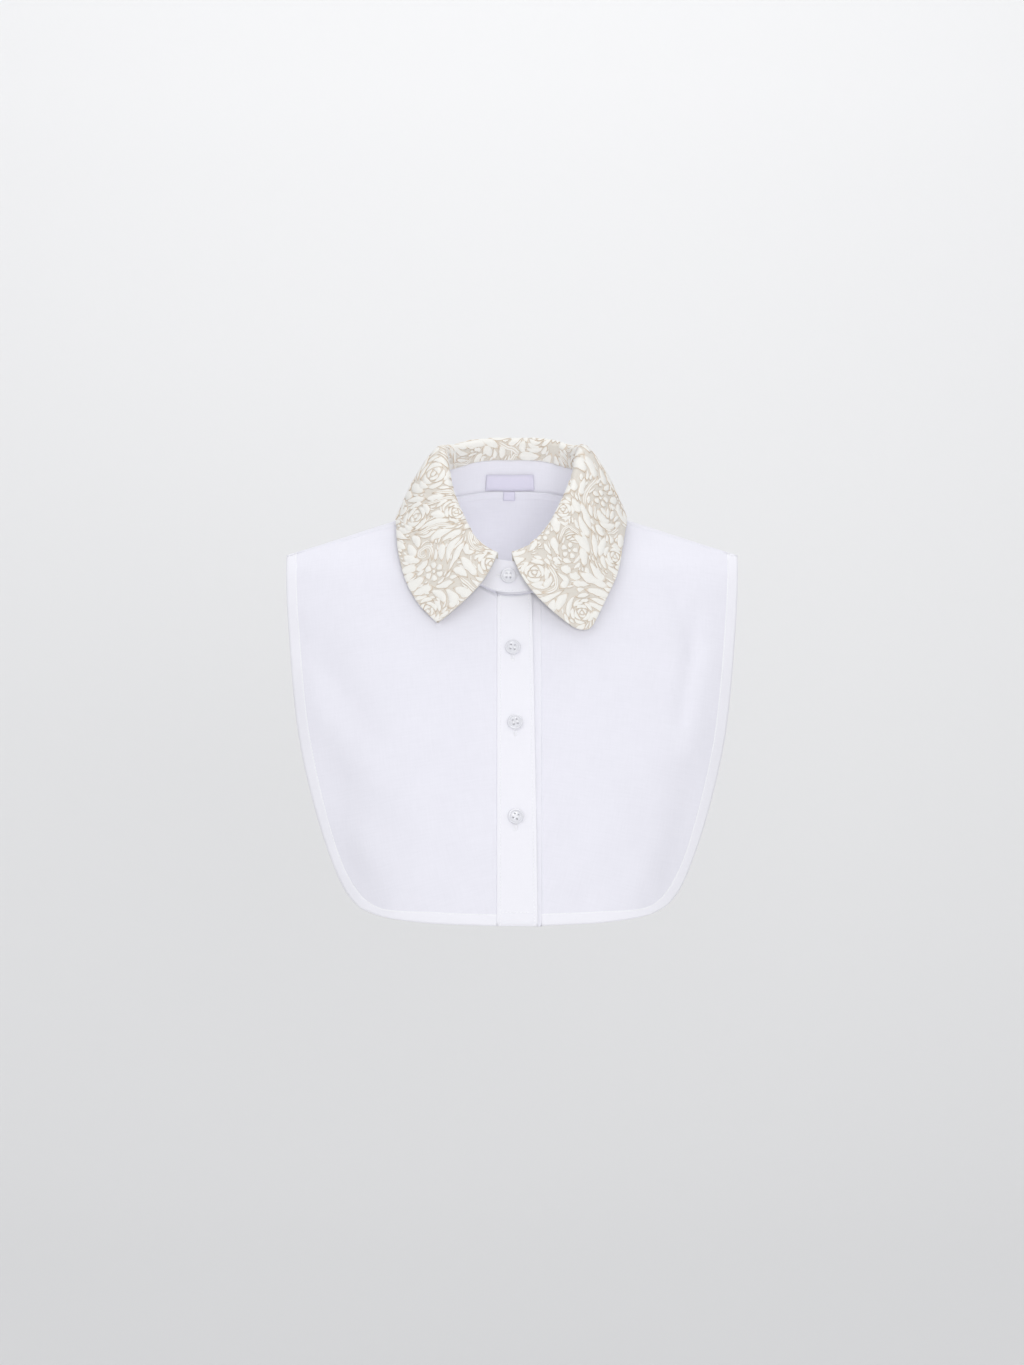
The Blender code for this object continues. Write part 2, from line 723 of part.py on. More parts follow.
def button_mesh(finish):
    """A turned button: flat back, raised rim and a shallow dish."""
    half = BUTTON_THICKNESS / 2
    dish = half - BUTTON_DISH
    rim = BUTTON_RADIUS - BUTTON_RIM
    inside, outside = BUTTON_SLOPE
    taper, taper_height, inset = BUTTON_BACK
    profile = (
        (0, dish),
        (rim - inside, dish),
        (rim + outside, half),
        (BUTTON_RADIUS - BUTTON_EDGE, half),
        (BUTTON_RADIUS, half - BUTTON_EDGE),
        (BUTTON_RADIUS - taper, taper_height - half),
        (BUTTON_RADIUS - inset, -half),
        (0, -half),
    )
    shape = bmesh.new()
    points = [shape.verts.new((x * MM, 0, z * MM)) for x, z in profile]
    edges = [shape.edges.new(pair) for pair in zip(points, points[1:])]
    bmesh.ops.spin(shape, geom=points + edges, cent=(0, 0, 0), axis=(0, 0, 1),
                   angle=math.tau, steps=BUTTON_STEPS, use_merge=True)
    bmesh.ops.remove_doubles(shape, verts=shape.verts, dist=MM / 100)
    bmesh.ops.recalc_face_normals(shape, faces=shape.faces)
    mesh = bpy.data.meshes.new("button")
    shape.to_mesh(mesh)
    shape.free()
    mesh.materials.append(finish)
    return mesh


def seat(place, ahead):
    """A matrix that stands a button on a place with its face pointing ahead."""
    turn = ahead.normalized().to_track_quat("Z", "Y").to_matrix().to_4x4()
    return Matrix.Translation(place * MM) @ turn


def build_buttons(finish):
    mesh = button_mesh(finish)
    lift = PLACKET_PLY / 2 + GAP + BUTTON_THICKNESS / 2 + FRONT_LAP
    seats = []
    for place in PLACKET_BUTTONS:
        swing = swing_at(place.across, place.height, FRONT)
        base = off_figure(place.across, swing, 0.0)
        outward = off_figure(place.across, swing, 1.0) - base
        seats.append((base + outward * lift, outward))
    angle, rise = STAND_BUTTON
    outward = stand_frame(angle)[2]
    lift = HALF_PAIR + PLY / 2 + GAP + BUTTON_THICKNESS / 2
    seats.append((on_stand(angle, rise, lift), outward))
    for name, (place, ahead) in zip(("button_1", "button_2", "button_3", "button_stand"), seats):
        made = bpy.data.objects.new(name, mesh)
        made.matrix_world = seat(place, ahead)
        parts.objects.link(made)


for existing in list(bpy.data.objects):
    bpy.data.objects.remove(existing, do_unlink=True)
parts = bpy.data.collections.new("lace_collar_bib")
bpy.context.scene.collection.children.link(parts)

white_cotton = material("white_cotton", (0.83, 0.82, 0.87), 0.85)
ivory_lace = material("ivory_lace", (0.78, 0.74, 0.67), 0.85)
under_cloth = material("under_cloth", (0.74, 0.68, 0.60), 0.85)
satin_label = material("satin_label", (0.80, 0.79, 0.86), 0.45)
clear_button = material("clear_button", (0.78, 0.78, 0.79), 0.25)

build_fronts(white_cotton)
build_back(white_cotton)
build_placket(white_cotton)
build_stand(white_cotton)
build_leaf(ivory_lace, under_cloth)
build_labels(satin_label)
build_buttons(clear_button)
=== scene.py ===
import math
import random
import bpy
import bmesh
from mathutils import Matrix, Vector, noise
from mathutils.bvhtree import BVHTree
from mathutils.geometry import barycentric_transform


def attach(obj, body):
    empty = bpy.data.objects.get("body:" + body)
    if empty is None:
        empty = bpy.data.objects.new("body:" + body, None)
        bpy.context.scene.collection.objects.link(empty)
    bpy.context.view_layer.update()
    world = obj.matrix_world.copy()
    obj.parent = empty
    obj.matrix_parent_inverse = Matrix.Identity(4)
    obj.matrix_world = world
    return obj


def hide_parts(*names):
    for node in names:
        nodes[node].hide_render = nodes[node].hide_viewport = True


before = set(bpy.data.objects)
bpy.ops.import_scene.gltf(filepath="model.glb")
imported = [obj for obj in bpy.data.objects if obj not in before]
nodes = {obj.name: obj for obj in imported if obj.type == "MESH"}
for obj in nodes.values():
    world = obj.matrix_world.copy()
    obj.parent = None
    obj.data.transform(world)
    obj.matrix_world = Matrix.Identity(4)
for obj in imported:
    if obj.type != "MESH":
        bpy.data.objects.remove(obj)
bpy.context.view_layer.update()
scene = bpy.context.scene


# shaders

def addNode(tree, kind, inputs=None, **settings):
    node = tree.nodes.new(kind)
    for name, value in settings.items():
        setattr(node, name, value)
    for name, value in (inputs or {}).items():
        if isinstance(value, bpy.types.NodeSocket):
            tree.links.new(value, node.inputs[name])
        else:
            node.inputs[name].default_value = value
    return node


def mathNode(tree, operation, first, second=0.0):
    return addNode(tree, "ShaderNodeMath", {0: first, 1: second}, operation=operation).outputs[0]


def mixNode(tree, factor, first, second, blend="MIX"):
    node = addNode(tree, "ShaderNodeMix", {0: factor}, data_type="RGBA", blend_type=blend)
    for index, value in ((6, first), (7, second)):
        if isinstance(value, bpy.types.NodeSocket):
            tree.links.new(value, node.inputs[index])
        else:
            node.inputs[index].default_value = (*value, 1.0)
    return node.outputs[2]


def noiseOf(tree, place, size, detail=2.0):
    return addNode(tree, "ShaderNodeTexNoise",
                   {"Vector": place, "Scale": size, "Detail": detail}).outputs[0]


# the value's way from low to high, as a way from least to most
def ranged(tree, value, low, high, least=0.0, most=1.0):
    return addNode(tree, "ShaderNodeMapRange",
                   {0: value, 1: low, 2: high, 3: least, 4: most}).outputs[0]


# places on the cloth as it was cut, and places in space
def cutPlace(tree):
    return addNode(tree, "ShaderNodeUVMap", uv_map="cut").outputs[0]


def solidPlace(tree):
    return addNode(tree, "ShaderNodeTexCoord").outputs["Object"]


def makeGroup(name, inputs, outputs):
    group = bpy.data.node_groups.new(name, "ShaderNodeTree")
    for label, value in inputs.items():
        kind = "NodeSocketVector" if value is None else "NodeSocketFloat"
        made = group.interface.new_socket(name=label, in_out="INPUT", socket_type=kind)
        if value is not None:
            made.default_value = value
    for label in outputs:
        group.interface.new_socket(name=label, in_out="OUTPUT", socket_type="NodeSocketFloat")
    return group, group.nodes.new("NodeGroupInput"), group.nodes.new("NodeGroupOutput")


# plain weave: warp and weft cross over and under, and the yarns' thickness wanders
def weaveGroup():
    group, given, result = makeGroup(
        "plainWeave", {"Place": None, "Yarns": 4000.0, "Slub": 0.5}, ("Height", "Shade"))
    place = addNode(group, "ShaderNodeSeparateXYZ", {0: given.outputs["Place"]})
    waves = []
    for axis in ("X", "Y"):
        turns = mathNode(group, "MULTIPLY", place.outputs[axis], given.outputs["Yarns"])
        waves.append(mathNode(group, "SINE", mathNode(group, "MULTIPLY", turns, math.pi)))
    cross = mathNode(group, "MULTIPLY", waves[0], waves[1])
    slubs = []
    for stretch in ((700.0, 60.0, 1.0), (60.0, 700.0, 1.0)):
        run = addNode(group, "ShaderNodeMapping",
                      {"Vector": given.outputs["Place"], "Scale": stretch})
        slubs.append(noiseOf(group, run.outputs[0], 1.0))
    slub = mathNode(group, "MULTIPLY", mathNode(group, "ADD", slubs[0], slubs[1]),
                    given.outputs["Slub"])
    height = mathNode(group, "ADD", mathNode(group, "MULTIPLY", cross, 0.5), slub)
    group.links.new(height, result.inputs["Height"])
    group.links.new(slub, result.inputs["Shade"])
    return group


# fine net: small holes, a little uneven in place, and a mask of the holes for the painted shade
# inside them
def netGroup():
    group, given, result = makeGroup(
        "fineNet", {"Place": None, "Holes": 900.0}, ("Height", "HoleShade"))
    cells = addNode(group, "ShaderNodeTexVoronoi",
                    {"Vector": given.outputs["Place"], "Scale": given.outputs["Holes"],
                     "Randomness": 0.35}, feature="DISTANCE_TO_EDGE")
    hole = ranged(group, cells.outputs["Distance"], 0.05, 0.28)
    group.links.new(mathNode(group, "SUBTRACT", 1.0, hole), result.inputs["Height"])
    group.links.new(hole, result.inputs["HoleShade"])
    return group


weave = weaveGroup()
net = netGroup()


def newMaterial(name, color, rough, **more):
    made = bpy.data.materials.new(name)
    made.use_nodes = True
    shader = made.node_tree.nodes["Principled BSDF"]
    shader.inputs["Base Color"].default_value = (*color, 1.0)
    shader.inputs["Roughness"].default_value = rough
    for label, value in more.items():
        shader.inputs[label.replace("_", " ")].default_value = value
    made.diffuse_color = (*color, 1.0)
    return made, made.node_tree, shader


def useGroup(tree, group, inputs):
    return addNode(tree, "ShaderNodeGroup", inputs, node_tree=group)


def bumpInto(tree, shader, height, depth, strength=1.0):
    bump = addNode(tree, "ShaderNodeBump",
                   {"Height": height, "Distance": depth, "Strength": strength})
    tree.links.new(bump.outputs[0], shader.inputs["Normal"])


# double is the lighter colour for double cloth, also a painted highlight along the hems
clothLook = {"yarns": 3600.0, "slub": 0.6, "depth": 0.00006, "tint": (0.830, 0.823, 0.885),
             "low": (0.818, 0.811, 0.873), "doubleAndHighlight": (0.905, 0.90, 0.935), "cloudSize": 38.0,
             "rough": 0.9, "sheen": 0.25}


# white cotton, lighter by its attribute where the cloth lies double, and along each hem's stitched
# line and turned strip also as a painted highlight
def cottonMaterial():
    made, tree, shader = newMaterial("whiteCotton", clothLook["tint"], clothLook["rough"],
                                     Sheen_Weight=clothLook["sheen"], Sheen_Roughness=0.5,
                                     Specular_IOR_Level=0.25)
    place = cutPlace(tree)
    woven = useGroup(tree, weave, {"Place": place, "Yarns": clothLook["yarns"],
                                   "Slub": clothLook["slub"]})
    cloud = ranged(tree, noiseOf(tree, place, clothLook["cloudSize"], 3.0), 0.35, 0.7)
    shade = mixNode(tree, cloud, clothLook["tint"], clothLook["low"])
    slubbed = ranged(tree, woven.outputs["Shade"], 0.4, 0.8, 0.985, 1.015)
    shade = mixNode(tree, 1.0, shade, slubbed, "MULTIPLY")
    doubledAndHighlight = addNode(tree, "ShaderNodeAttribute", attribute_name="doubledAndHighlight")
    shade = mixNode(tree, doubledAndHighlight.outputs["Fac"], shade, clothLook["doubleAndHighlight"])
    tree.links.new(shade, shader.inputs["Base Color"])
    bumpInto(tree, shader, woven.outputs["Height"], clothLook["depth"], 0.6)
    return made


cotton = cottonMaterial()

# hole is the painted shade colour inside the net's holes
laceLook = {"ground": (0.84, 0.80, 0.735), "hole": (0.79, 0.74, 0.66), "holes": 1300.0,
            "motif": (0.875, 0.86, 0.815), "cordAndFootShade": (0.66, 0.55, 0.43),
            "threads": 2600.0}


def laceGround():
    made, tree, shader = newMaterial("laceGround", laceLook["ground"], 0.9, Sheen_Weight=0.2,
                                     Specular_IOR_Level=0.2)
    holes = useGroup(tree, net, {"Place": cutPlace(tree), "Holes": laceLook["holes"]})
    # the net's holes are painted darker: painted shade
    shade = mixNode(tree, holes.outputs["HoleShade"], laceLook["ground"], laceLook["hole"])
    tree.links.new(shade, shader.inputs["Base Color"])
    bumpInto(tree, shader, holes.outputs["Height"], 0.00025, 0.7)
    return made


# satin stitches; where the attribute "rise" is low, at each motif's edge, a tan that is partly the
# lace's cord and partly painted shade where the motif meets the ground
def laceMotif():
    made, tree, shader = newMaterial("laceMotif", laceLook["motif"], 0.75, Sheen_Weight=0.2,
                                     Specular_IOR_Level=0.35)
    rise = addNode(tree, "ShaderNodeAttribute", attribute_name="rise")
    threads = noiseOf(tree, solidPlace(tree), laceLook["threads"])
    level = ranged(tree, rise.outputs["Fac"], 0.15, 0.7)
    # cord colour at the motif's edge: partly the lace's own tan, partly painted shade
    shade = mixNode(tree, level, laceLook["cordAndFootShade"], laceLook["motif"])
    shade = mixNode(tree, 1.0, shade, ranged(tree, threads, 0.3, 0.7, 0.94, 1.04), "MULTIPLY")
    tree.links.new(shade, shader.inputs["Base Color"])
    bumpInto(tree, shader, threads, 0.0001, 0.6)
    return made


groundLook = laceGround()
motifLook = laceMotif()


def threadMaterial():
    made, tree, shader = newMaterial("sewingThread", (0.95, 0.95, 0.97), 0.6, Sheen_Weight=0.3)
    bumpInto(tree, shader, noiseOf(tree, solidPlace(tree), 4000.0, 1.0), 0.00005, 0.5)
    return made


def satinMaterial():
    made, tree, shader = newMaterial("labelSatin", (0.735, 0.71, 0.835), 0.42, Sheen_Weight=0.3,
                                     Anisotropic=0.6)
    woven = useGroup(tree, weave, {"Place": cutPlace(tree), "Yarns": 6000.0, "Slub": 0.3})
    bumpInto(tree, shader, woven.outputs["Height"], 0.00004, 0.5)
    return made


def buttonMaterial():
    made, tree, shader = newMaterial("pearlButton", (0.84, 0.84, 0.88), 0.3,
                                     Transmission_Weight=0.12, Coat_Weight=0.2, IOR=1.52)
    cloud = noiseOf(tree, solidPlace(tree), 260.0)
    shade = mixNode(tree, cloud, (0.77, 0.77, 0.82), (0.87, 0.87, 0.90))
    tree.links.new(shade, shader.inputs["Base Color"])
    return made


thread = threadMaterial()
satin = satinMaterial()
pearl = buttonMaterial()


# cloth tools

cloths = {}
clothTrees = {}
cuts = {}


def showObject(name, mesh, *materials):
    obj = bpy.data.objects.new(name, mesh)
    scene.collection.objects.link(obj)
    for material in materials:
        mesh.materials.append(material)
    return obj


def meshFrom(bm, name):
    mesh = bpy.data.meshes.new(name)
    bm.to_mesh(mesh)
    bm.free()
    return mesh


def finishPiece(obj, replaced=()):
    obj.data.shade_smooth()
    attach(obj, "root")
    if replaced:
        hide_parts(*replaced)


def applied(obj):
    depsgraph = bpy.context.evaluated_depsgraph_get()
    mesh = bpy.data.meshes.new_from_object(obj.evaluated_get(depsgraph))
    obj.modifiers.clear()
    old = obj.data
    obj.data = mesh
    bpy.data.meshes.remove(old)
    return obj


# one side of a cloth node, as a sheet of quads
def sideOf(name, facing, seed=None, steep=0.5):
    facing = Vector(facing)
    seed = Vector(seed or facing)
    bm = bmesh.new()
    bm.from_mesh(nodes[name].data)
    bmesh.ops.remove_doubles(bm, verts=bm.verts, dist=1e-5)
    bmesh.ops.join_triangles(bm, faces=bm.faces, angle_face_threshold=math.radians(75),
                             angle_shape_threshold=math.pi, topology_influence=2.0)
    start = max((f for f in bm.faces if f.normal.dot(facing) > steep),
                key=lambda f: f.calc_center_median().dot(seed))
    reached = {start}
    waiting = [start]
    while waiting:
        for edge in waiting.pop().edges:
            if len(edge.link_faces) == 2 and edge.calc_face_angle() < math.radians(70):
                for face in edge.link_faces:
                    if face not in reached:
                        reached.add(face)
                        waiting.append(face)
    bmesh.ops.delete(bm, geom=[f for f in bm.faces if f not in reached], context="FACES")
    bm.normal_update()
    bm.edges.layers.float.new("crease_edge")
    sharp = bm.verts.layers.float.new("crease_vert")
    for vert in bm.verts:
        if len(vert.link_edges) == 2:
            vert[sharp] = 1.0
    return bm


def fixed(vert):
    return vert.co.copy().freeze()


def middle(edge):
    return (edge.verts[0].co + edge.verts[1].co) / 2


# the vertices of a run of edges, in order from one end
def runOf(edges):
    ends = {}
    for edge in edges:
        for vert in edge.verts:
            ends.setdefault(vert, []).append(edge)
    if not ends:
        return []
    vert = next((v for v, links in ends.items() if len(links) == 1), next(iter(ends)))
    run = [vert]
    used = set()
    while True:
        edge = next((e for e in ends[vert] if e not in used), None)
        if edge is None:
            return run
        used.add(edge)
        vert = edge.other_vert(vert)
        run.append(vert)


def creaseOf(bm):
    return bm.edges.layers.float["crease_edge"]


# turns a cut edge in by the depth, square to the cloth
def turnIn(bm, edges, depth, crisp=0.6):
    normals = {v: v.normal.copy() for e in edges for v in e.verts}
    places = {fixed(v): v for v in normals}
    made = bmesh.ops.extrude_edge_only(bm, edges=edges)["geom"]
    moved = {}
    sharp = bm.verts.layers.float["crease_vert"]
    for vert in [g for g in made if isinstance(g, bmesh.types.BMVert)]:
        source = places[fixed(vert)]
        moved[source] = vert
        vert[sharp] = source[sharp]
        vert.co -= normals[source] * depth
    crease = creaseOf(bm)
    for edge in edges:
        edge[crease] = crisp
    return moved, [g for g in made if isinstance(g, bmesh.types.BMEdge)
                   and g.verts[0] in moved.values() and g.verts[1] in moved.values()]


# carries a cut edge on under its neighbour: down by the depth, then away from the cloth
def tuckUnder(bm, edges, depth, reach, goal=None, crisp=0.6):
    ways = {}
    for vert in {v for e in edges for v in e.verts}:
        inner = [e.other_vert(vert).co for e in vert.link_edges
                 if not (e.is_boundary and e in edges)]
        inner = inner or [f.calc_center_median() for f in vert.link_faces]
        way = vert.co - sum(inner, Vector()) / len(inner)
        way -= vert.normal * way.dot(vert.normal)
        ways[vert] = way.normalized()
    moved, rim = turnIn(bm, edges, depth, crisp)
    goals = {fixed(moved[v]): (goal(moved[v].co, v) if goal else moved[v].co + ways[v] * reach)
             for v in moved}
    made = bmesh.ops.extrude_edge_only(bm, edges=rim)["geom"]
    for vert in [g for g in made if isinstance(g, bmesh.types.BMVert)]:
        vert.co = goals[fixed(vert)]


# roundBelow is the height under which the stitched line's corners are rounded
# line, strip and stripShade set where a hem is painted lighter, for double cloth and as a painted
# highlight
hemLook = {"depth": 0.00125, "groove": 0.0003, "lift": 0.00015, "roundBelow": -0.2,
           "sharpest": math.radians(10), "stitchWidth": 0.0009, "slack": 0.0003,
           "line": 0.0006, "strip": 0.02, "stripShade": 0.6}


# a hem turned to the inside, with a shallow groove where it is stitched
def turnHem(bm, hem):
    depth = hemLook["depth"]
    rim = {v for e in hem for v in e.verts}
    hemSet = set(hem)
    partner = {}
    for vert in rim:
        inner = [e for e in vert.link_edges if e not in hemSet]
        if inner:
            partner[vert] = min((e.other_vert(vert) for e in inner),
                                key=lambda v: (v.co - vert.co).length)
        else:
            beside = {e.other_vert(vert) for e in vert.link_edges} | {vert}
            partner[vert] = next(v for v in vert.link_faces[0].verts if v not in beside)
    goal = {v: partner[v].co - partner[v].normal * depth for v in rim}
    line = set(partner.values())
    lineEdges = [e for e in bm.edges if e.verts[0] in line and e.verts[1] in line
                 and not e.is_boundary]
    run = runOf(lineEdges)
    for sweep in range(4):
        spots = [v.co.copy() for v in run]
        for before, vert, after in zip(spots, run[1:-1], spots[2:]):
            bend = (vert.co - before).angle(after - vert.co)
            if bend > hemLook["sharpest"] and vert.co.z < hemLook["roundBelow"]:
                vert.co = vert.co.lerp((before + after) / 2, 0.5)
    path = [v.co.copy() for v in run]
    outward = []
    for vert in run:
        rims = [r.co - vert.co for r in rim if partner[r] == vert]
        outward.append(sum(rims, Vector()).normalized())
    crease = creaseOf(bm)
    moved, rimEdges = turnIn(bm, hem, depth, 0.75)
    for edge in rimEdges:
        edge[crease] = 0.6
    spots = {fixed(moved[v]): goal[v] for v in rim}
    made = bmesh.ops.extrude_edge_only(bm, edges=rimEdges)["geom"]
    for vert in [g for g in made if isinstance(g, bmesh.types.BMVert)]:
        vert.co = spots[fixed(vert)]
    for vert in rim:
        vert.co += vert.normal * hemLook["lift"]
    result = bmesh.ops.bevel(bm, geom=lineEdges, offset=hemLook["stitchWidth"],
                             offset_type="OFFSET", segments=2, profile=0.5, affect="EDGES",
                             material=-1, clamp_overlap=True)
    bm.normal_update()
    for vert in result["verts"]:
        if nearestOnPath(vert.co, path)[0].length < hemLook["slack"]:
            vert.co -= vert.normal * hemLook["groove"]
    bmesh.ops.remove_doubles(bm, verts=bm.verts, dist=2e-5)
    return path, outward


# how much lighter a hem is painted, for its double cloth and as a painted highlight: fully on its
# stitched line, less on the turned strip
def markDoubledAndHighlight(mesh, path, outward):
    layer = mesh.attributes.new("doubledAndHighlight", "FLOAT", "POINT")
    for index, vert in enumerate(mesh.vertices):
        gap, k, share = nearestOnPath(vert.co, path)
        past = gap.dot(outward[k].lerp(outward[k + 1], share))
        turned = past > -hemLook["slack"] and gap.length < hemLook["strip"]
        onHighlightLine = gap.length < hemLook["line"]
        layer.data[index].value = 1.0 if onHighlightLine else turned * hemLook["stripShade"]


def markAll(mesh, value):
    layer = mesh.attributes.new("doubledAndHighlight", "FLOAT", "POINT")
    for spot in layer.data:
        spot.value = value


# the way from the path's nearest point, with that point's segment and its share of it
def nearestOnPath(point, path):
    best = None
    for index, (first, second) in enumerate(zip(path, path[1:])):
        along = second - first
        share = max(0.0, min(1.0, (point - first).dot(along) / max(along.length_squared, 1e-12)))
        gap = point - (first + along * share)
        if best is None or gap.length < best[0].length:
            best = (gap, index, share)
    return best


# a loop of new edges beside a run of vertices, at a set distance on its far side
def addLoop(bm, rim, passed, distance):
    percents = {}
    before = {fixed(v) for v in bm.verts}
    for vert in [v for v in bm.verts if fixed(v) in rim]:
        for edge in vert.link_edges:
            other = edge.other_vert(vert)
            if fixed(other) not in rim and fixed(other) not in passed:
                share = min(0.9, distance / edge.calc_length())
                percents[edge] = share if edge.verts[0] == vert else 1.0 - share
    bmesh.ops.subdivide_edges(bm, edges=list(percents), cuts=1, edge_percents=percents)
    return {fixed(v) for v in bm.verts} - before


def smoothed(name, bm, levels=2):
    obj = showObject(name, meshFrom(bm, name))
    modifier = obj.modifiers.new("rounding", "SUBSURF")
    modifier.levels = levels
    modifier.render_levels = levels
    modifier.boundary_smooth = "PRESERVE_CORNERS"
    return applied(obj)


# lays the sheet flat, in metres, as it was cut
def flatten(obj):
    mesh = obj.data
    mesh.uv_layers.new(name="cut")
    bpy.ops.object.select_all(action="DESELECT")
    bpy.context.view_layer.objects.active = obj
    obj.select_set(True)
    bpy.ops.object.mode_set(mode="EDIT")
    bpy.ops.mesh.select_all(action="SELECT")
    bpy.ops.uv.unwrap(method="ANGLE_BASED", margin=0.0)
    bpy.ops.object.mode_set(mode="OBJECT")
    obj.select_set(False)
    layer = mesh.uv_layers["cut"]
    flat = 0.0
    for poly in mesh.polygons:
        corners = [layer.data[i].uv for i in poly.loop_indices]
        for first, second in zip(corners, corners[1:] + corners[:1]):
            flat += (first[0] * second[1] - second[0] * first[1]) / 2
    area = sum(p.area for p in mesh.polygons)
    scale = math.sqrt(area / abs(flat))
    for spot in layer.data:
        spot.uv = spot.uv * scale
    us = [spot.uv[0] for spot in layer.data]
    vs = [spot.uv[1] for spot in layer.data]
    return (max(us) - min(us), max(vs) - min(vs)), area


def thicken(obj, thickness):
    modifier = obj.modifiers.new("cloth", "SOLIDIFY")
    modifier.thickness = thickness
    modifier.offset = -1.0
    modifier.use_even_offset = False


# lays a cloth flat for its weave, keeps its outer face for the stitches and gives it a wall
def dressCloth(obj, name, thickness, material, replaced):
    cuts[name] = flatten(obj)
    clothTrees[name] = treeOf(obj)
    thicken(obj, thickness)
    obj.data.materials.append(material)
    finishPiece(obj, replaced)
    cloths[name] = obj
    print("cloth", name, len(obj.data.polygons))


def treeOf(obj):
    return BVHTree.FromPolygons([v.co for v in obj.data.vertices],
                                [tuple(p.vertices) for p in obj.data.polygons])


# soft folds: each row is a line from one point to another as seen from the front, in millimetres
def foldCloth(obj, rows, way, noiseHeight=0.0004, noiseSize=0.03, seed=0.0):
    for vert in obj.data.vertices:
        spot = Vector((vert.co.x, vert.co.z))
        push = 0.0
        for x0, z0, x1, z1, width, depth in rows:
            first = Vector((x0, z0)) * 0.001
            along = Vector((x1, z1)) * 0.001 - first
            share = (spot - first).dot(along) / along.length_squared
            inside = max(0.0, min(1.0, share))
            away = (spot - first - along * inside).length / (width * 0.001)
            push += depth * 0.001 * math.exp(-away * away)
        wander = noise.noise(Vector((vert.co.x, vert.co.z, seed)) / noiseSize)
        vert.co.y += way * (push + noiseHeight * wander)


def lengthOf(path):
    return sum((b - a).length for a, b in zip(path, path[1:]))


# points at an even pitch along a path, with the way it runs
def spaced(path, pitch, start=0.5):
    total = lengthOf(path)
    count = max(1, int(total / pitch))
    step = total / count
    spots = []
    walked = 0.0
    want = step * start
    for first, second in zip(path, path[1:]):
        length = (second - first).length
        while want <= walked + length + 1e-9 and len(spots) < count and length > 0:
            share = (want - walked) / length
            spots.append((first.lerp(second, share), (second - first).normalized()))
            want += step
        walked += length
    return spots


stitchLook = {"length": 0.0022, "pitch": 0.0026, "radius": 0.00026}


# one stitch is a small long bead lying along the seam
def stitchMesh(name, spots, length=None, radius=None):
    length = length or stitchLook["length"]
    radius = radius or stitchLook["radius"]
    bm = bmesh.new()
    bead = bmesh.new()
    bmesh.ops.create_icosphere(bead, subdivisions=1, radius=1.0)
    beadMesh = meshFrom(bead, "bead")
    for place, along, normal in spots:
        side = normal.cross(along).normalized()
        up = along.cross(side).normalized()
        turn = Matrix((along, side, up)).transposed().to_4x4()
        size = Matrix.Diagonal((length / 2, radius, radius, 1.0))
        count = len(bm.verts)
        bm.from_mesh(beadMesh)
        bm.verts.ensure_lookup_table()
        bmesh.ops.transform(bm, matrix=Matrix.Translation(place) @ turn @ size,
                            verts=bm.verts[count:])
    bpy.data.meshes.remove(beadMesh)
    return meshFrom(bm, name)


def onCloth(path, tree, pitch, lift=0.00012, reach=0.006):
    spots = []
    for place, along in spaced(path, pitch):
        near, normal, index, gap = tree.find_nearest(place, reach)
        if near is not None:
            spots.append((near + normal * lift, (along - normal * along.dot(normal)).normalized(),
                          normal))
    return spots


# fronts and back: each panel with its turned hem is one piece of cloth

panelThickness = 0.00045
# where a panel's edge changes from neck to shoulder, armhole and bottom hem
edgeLimits = {"neckSide": 0.0617, "neckLow": -0.0655, "shoulderLow": -0.046,
              "armholeIn": 0.1, "armholeLow": -0.2}


# the upright edge in front, where a panel meets the placket or button band
def innerEdges(bm, look):
    if look["inner"] is None:
        return []
    return [e for e in bm.edges if e.is_boundary and
            all(abs(v.co.x - look["inner"]) < 0.0006 for v in e.verts)]


# armholes and bottom edge
def isHem(edge):
    run = edge.verts[1].co - edge.verts[0].co
    place = middle(edge)
    armhole = abs(place.x) > edgeLimits["armholeIn"] and abs(run.z) > abs(run.x)
    return edge.is_boundary and (place.z < edgeLimits["armholeLow"] or armhole)


# folds are x, z to x, z as seen from the front, with width and depth, all in millimetres
panelLooks = {
    "front_left": {
        "facing": (0, -1, 0), "way": 1, "seed": 3.0, "inner": 0.0223,
        "tuck": (0.00035, 0.005),
        "folds": [(124, -60, 140, -120, 7, 1.6), (142, -86, 128, -165, 6, 2.2),
                  (150, -120, 134, -190, 9, -1.2), (95, -250, 60, -300, 14, 1.0)]},
    "front_right": {
        "facing": (0, -1, 0), "way": 1, "seed": 7.0, "inner": -0.0115,
        "tuck": (0.0004, 0.0018),
        "folds": [(-154, -106, -110, -176, 14, 1.8), (-143, -190, -98, -250, 16, 2.2),
                  (-122, -270, -104, -300, 11, 1.0), (-152, 24, -125, -30, 9, 0.8),
                  (-158, -80, -150, -150, 8, -0.8)]},
    "back": {
        "facing": (0, 1, 0), "way": -1, "seed": 11.0, "inner": None,
        "tuck": (0.0006, 0.0022),
        "folds": [(-130, -60, -112, -170, 11, 2.6), (128, -50, 116, -150, 10, 2.4),
                  (40, -180, 74, -290, 15, 2.4), (-58, -200, -36, -300, 16, -2.0)]},
}

standInside = sideOf("stand_inner", (0, -1, 0), (0, 1, 0))
standInsideTree = BVHTree.FromBMesh(standInside)


# the neck edges go up between the stand's two plies
def betweenPlies(place, vert):
    near, normal, index, gap = standInsideTree.find_nearest(place + Vector((0, 0, 0.006)))
    return near - normal * 0.0010


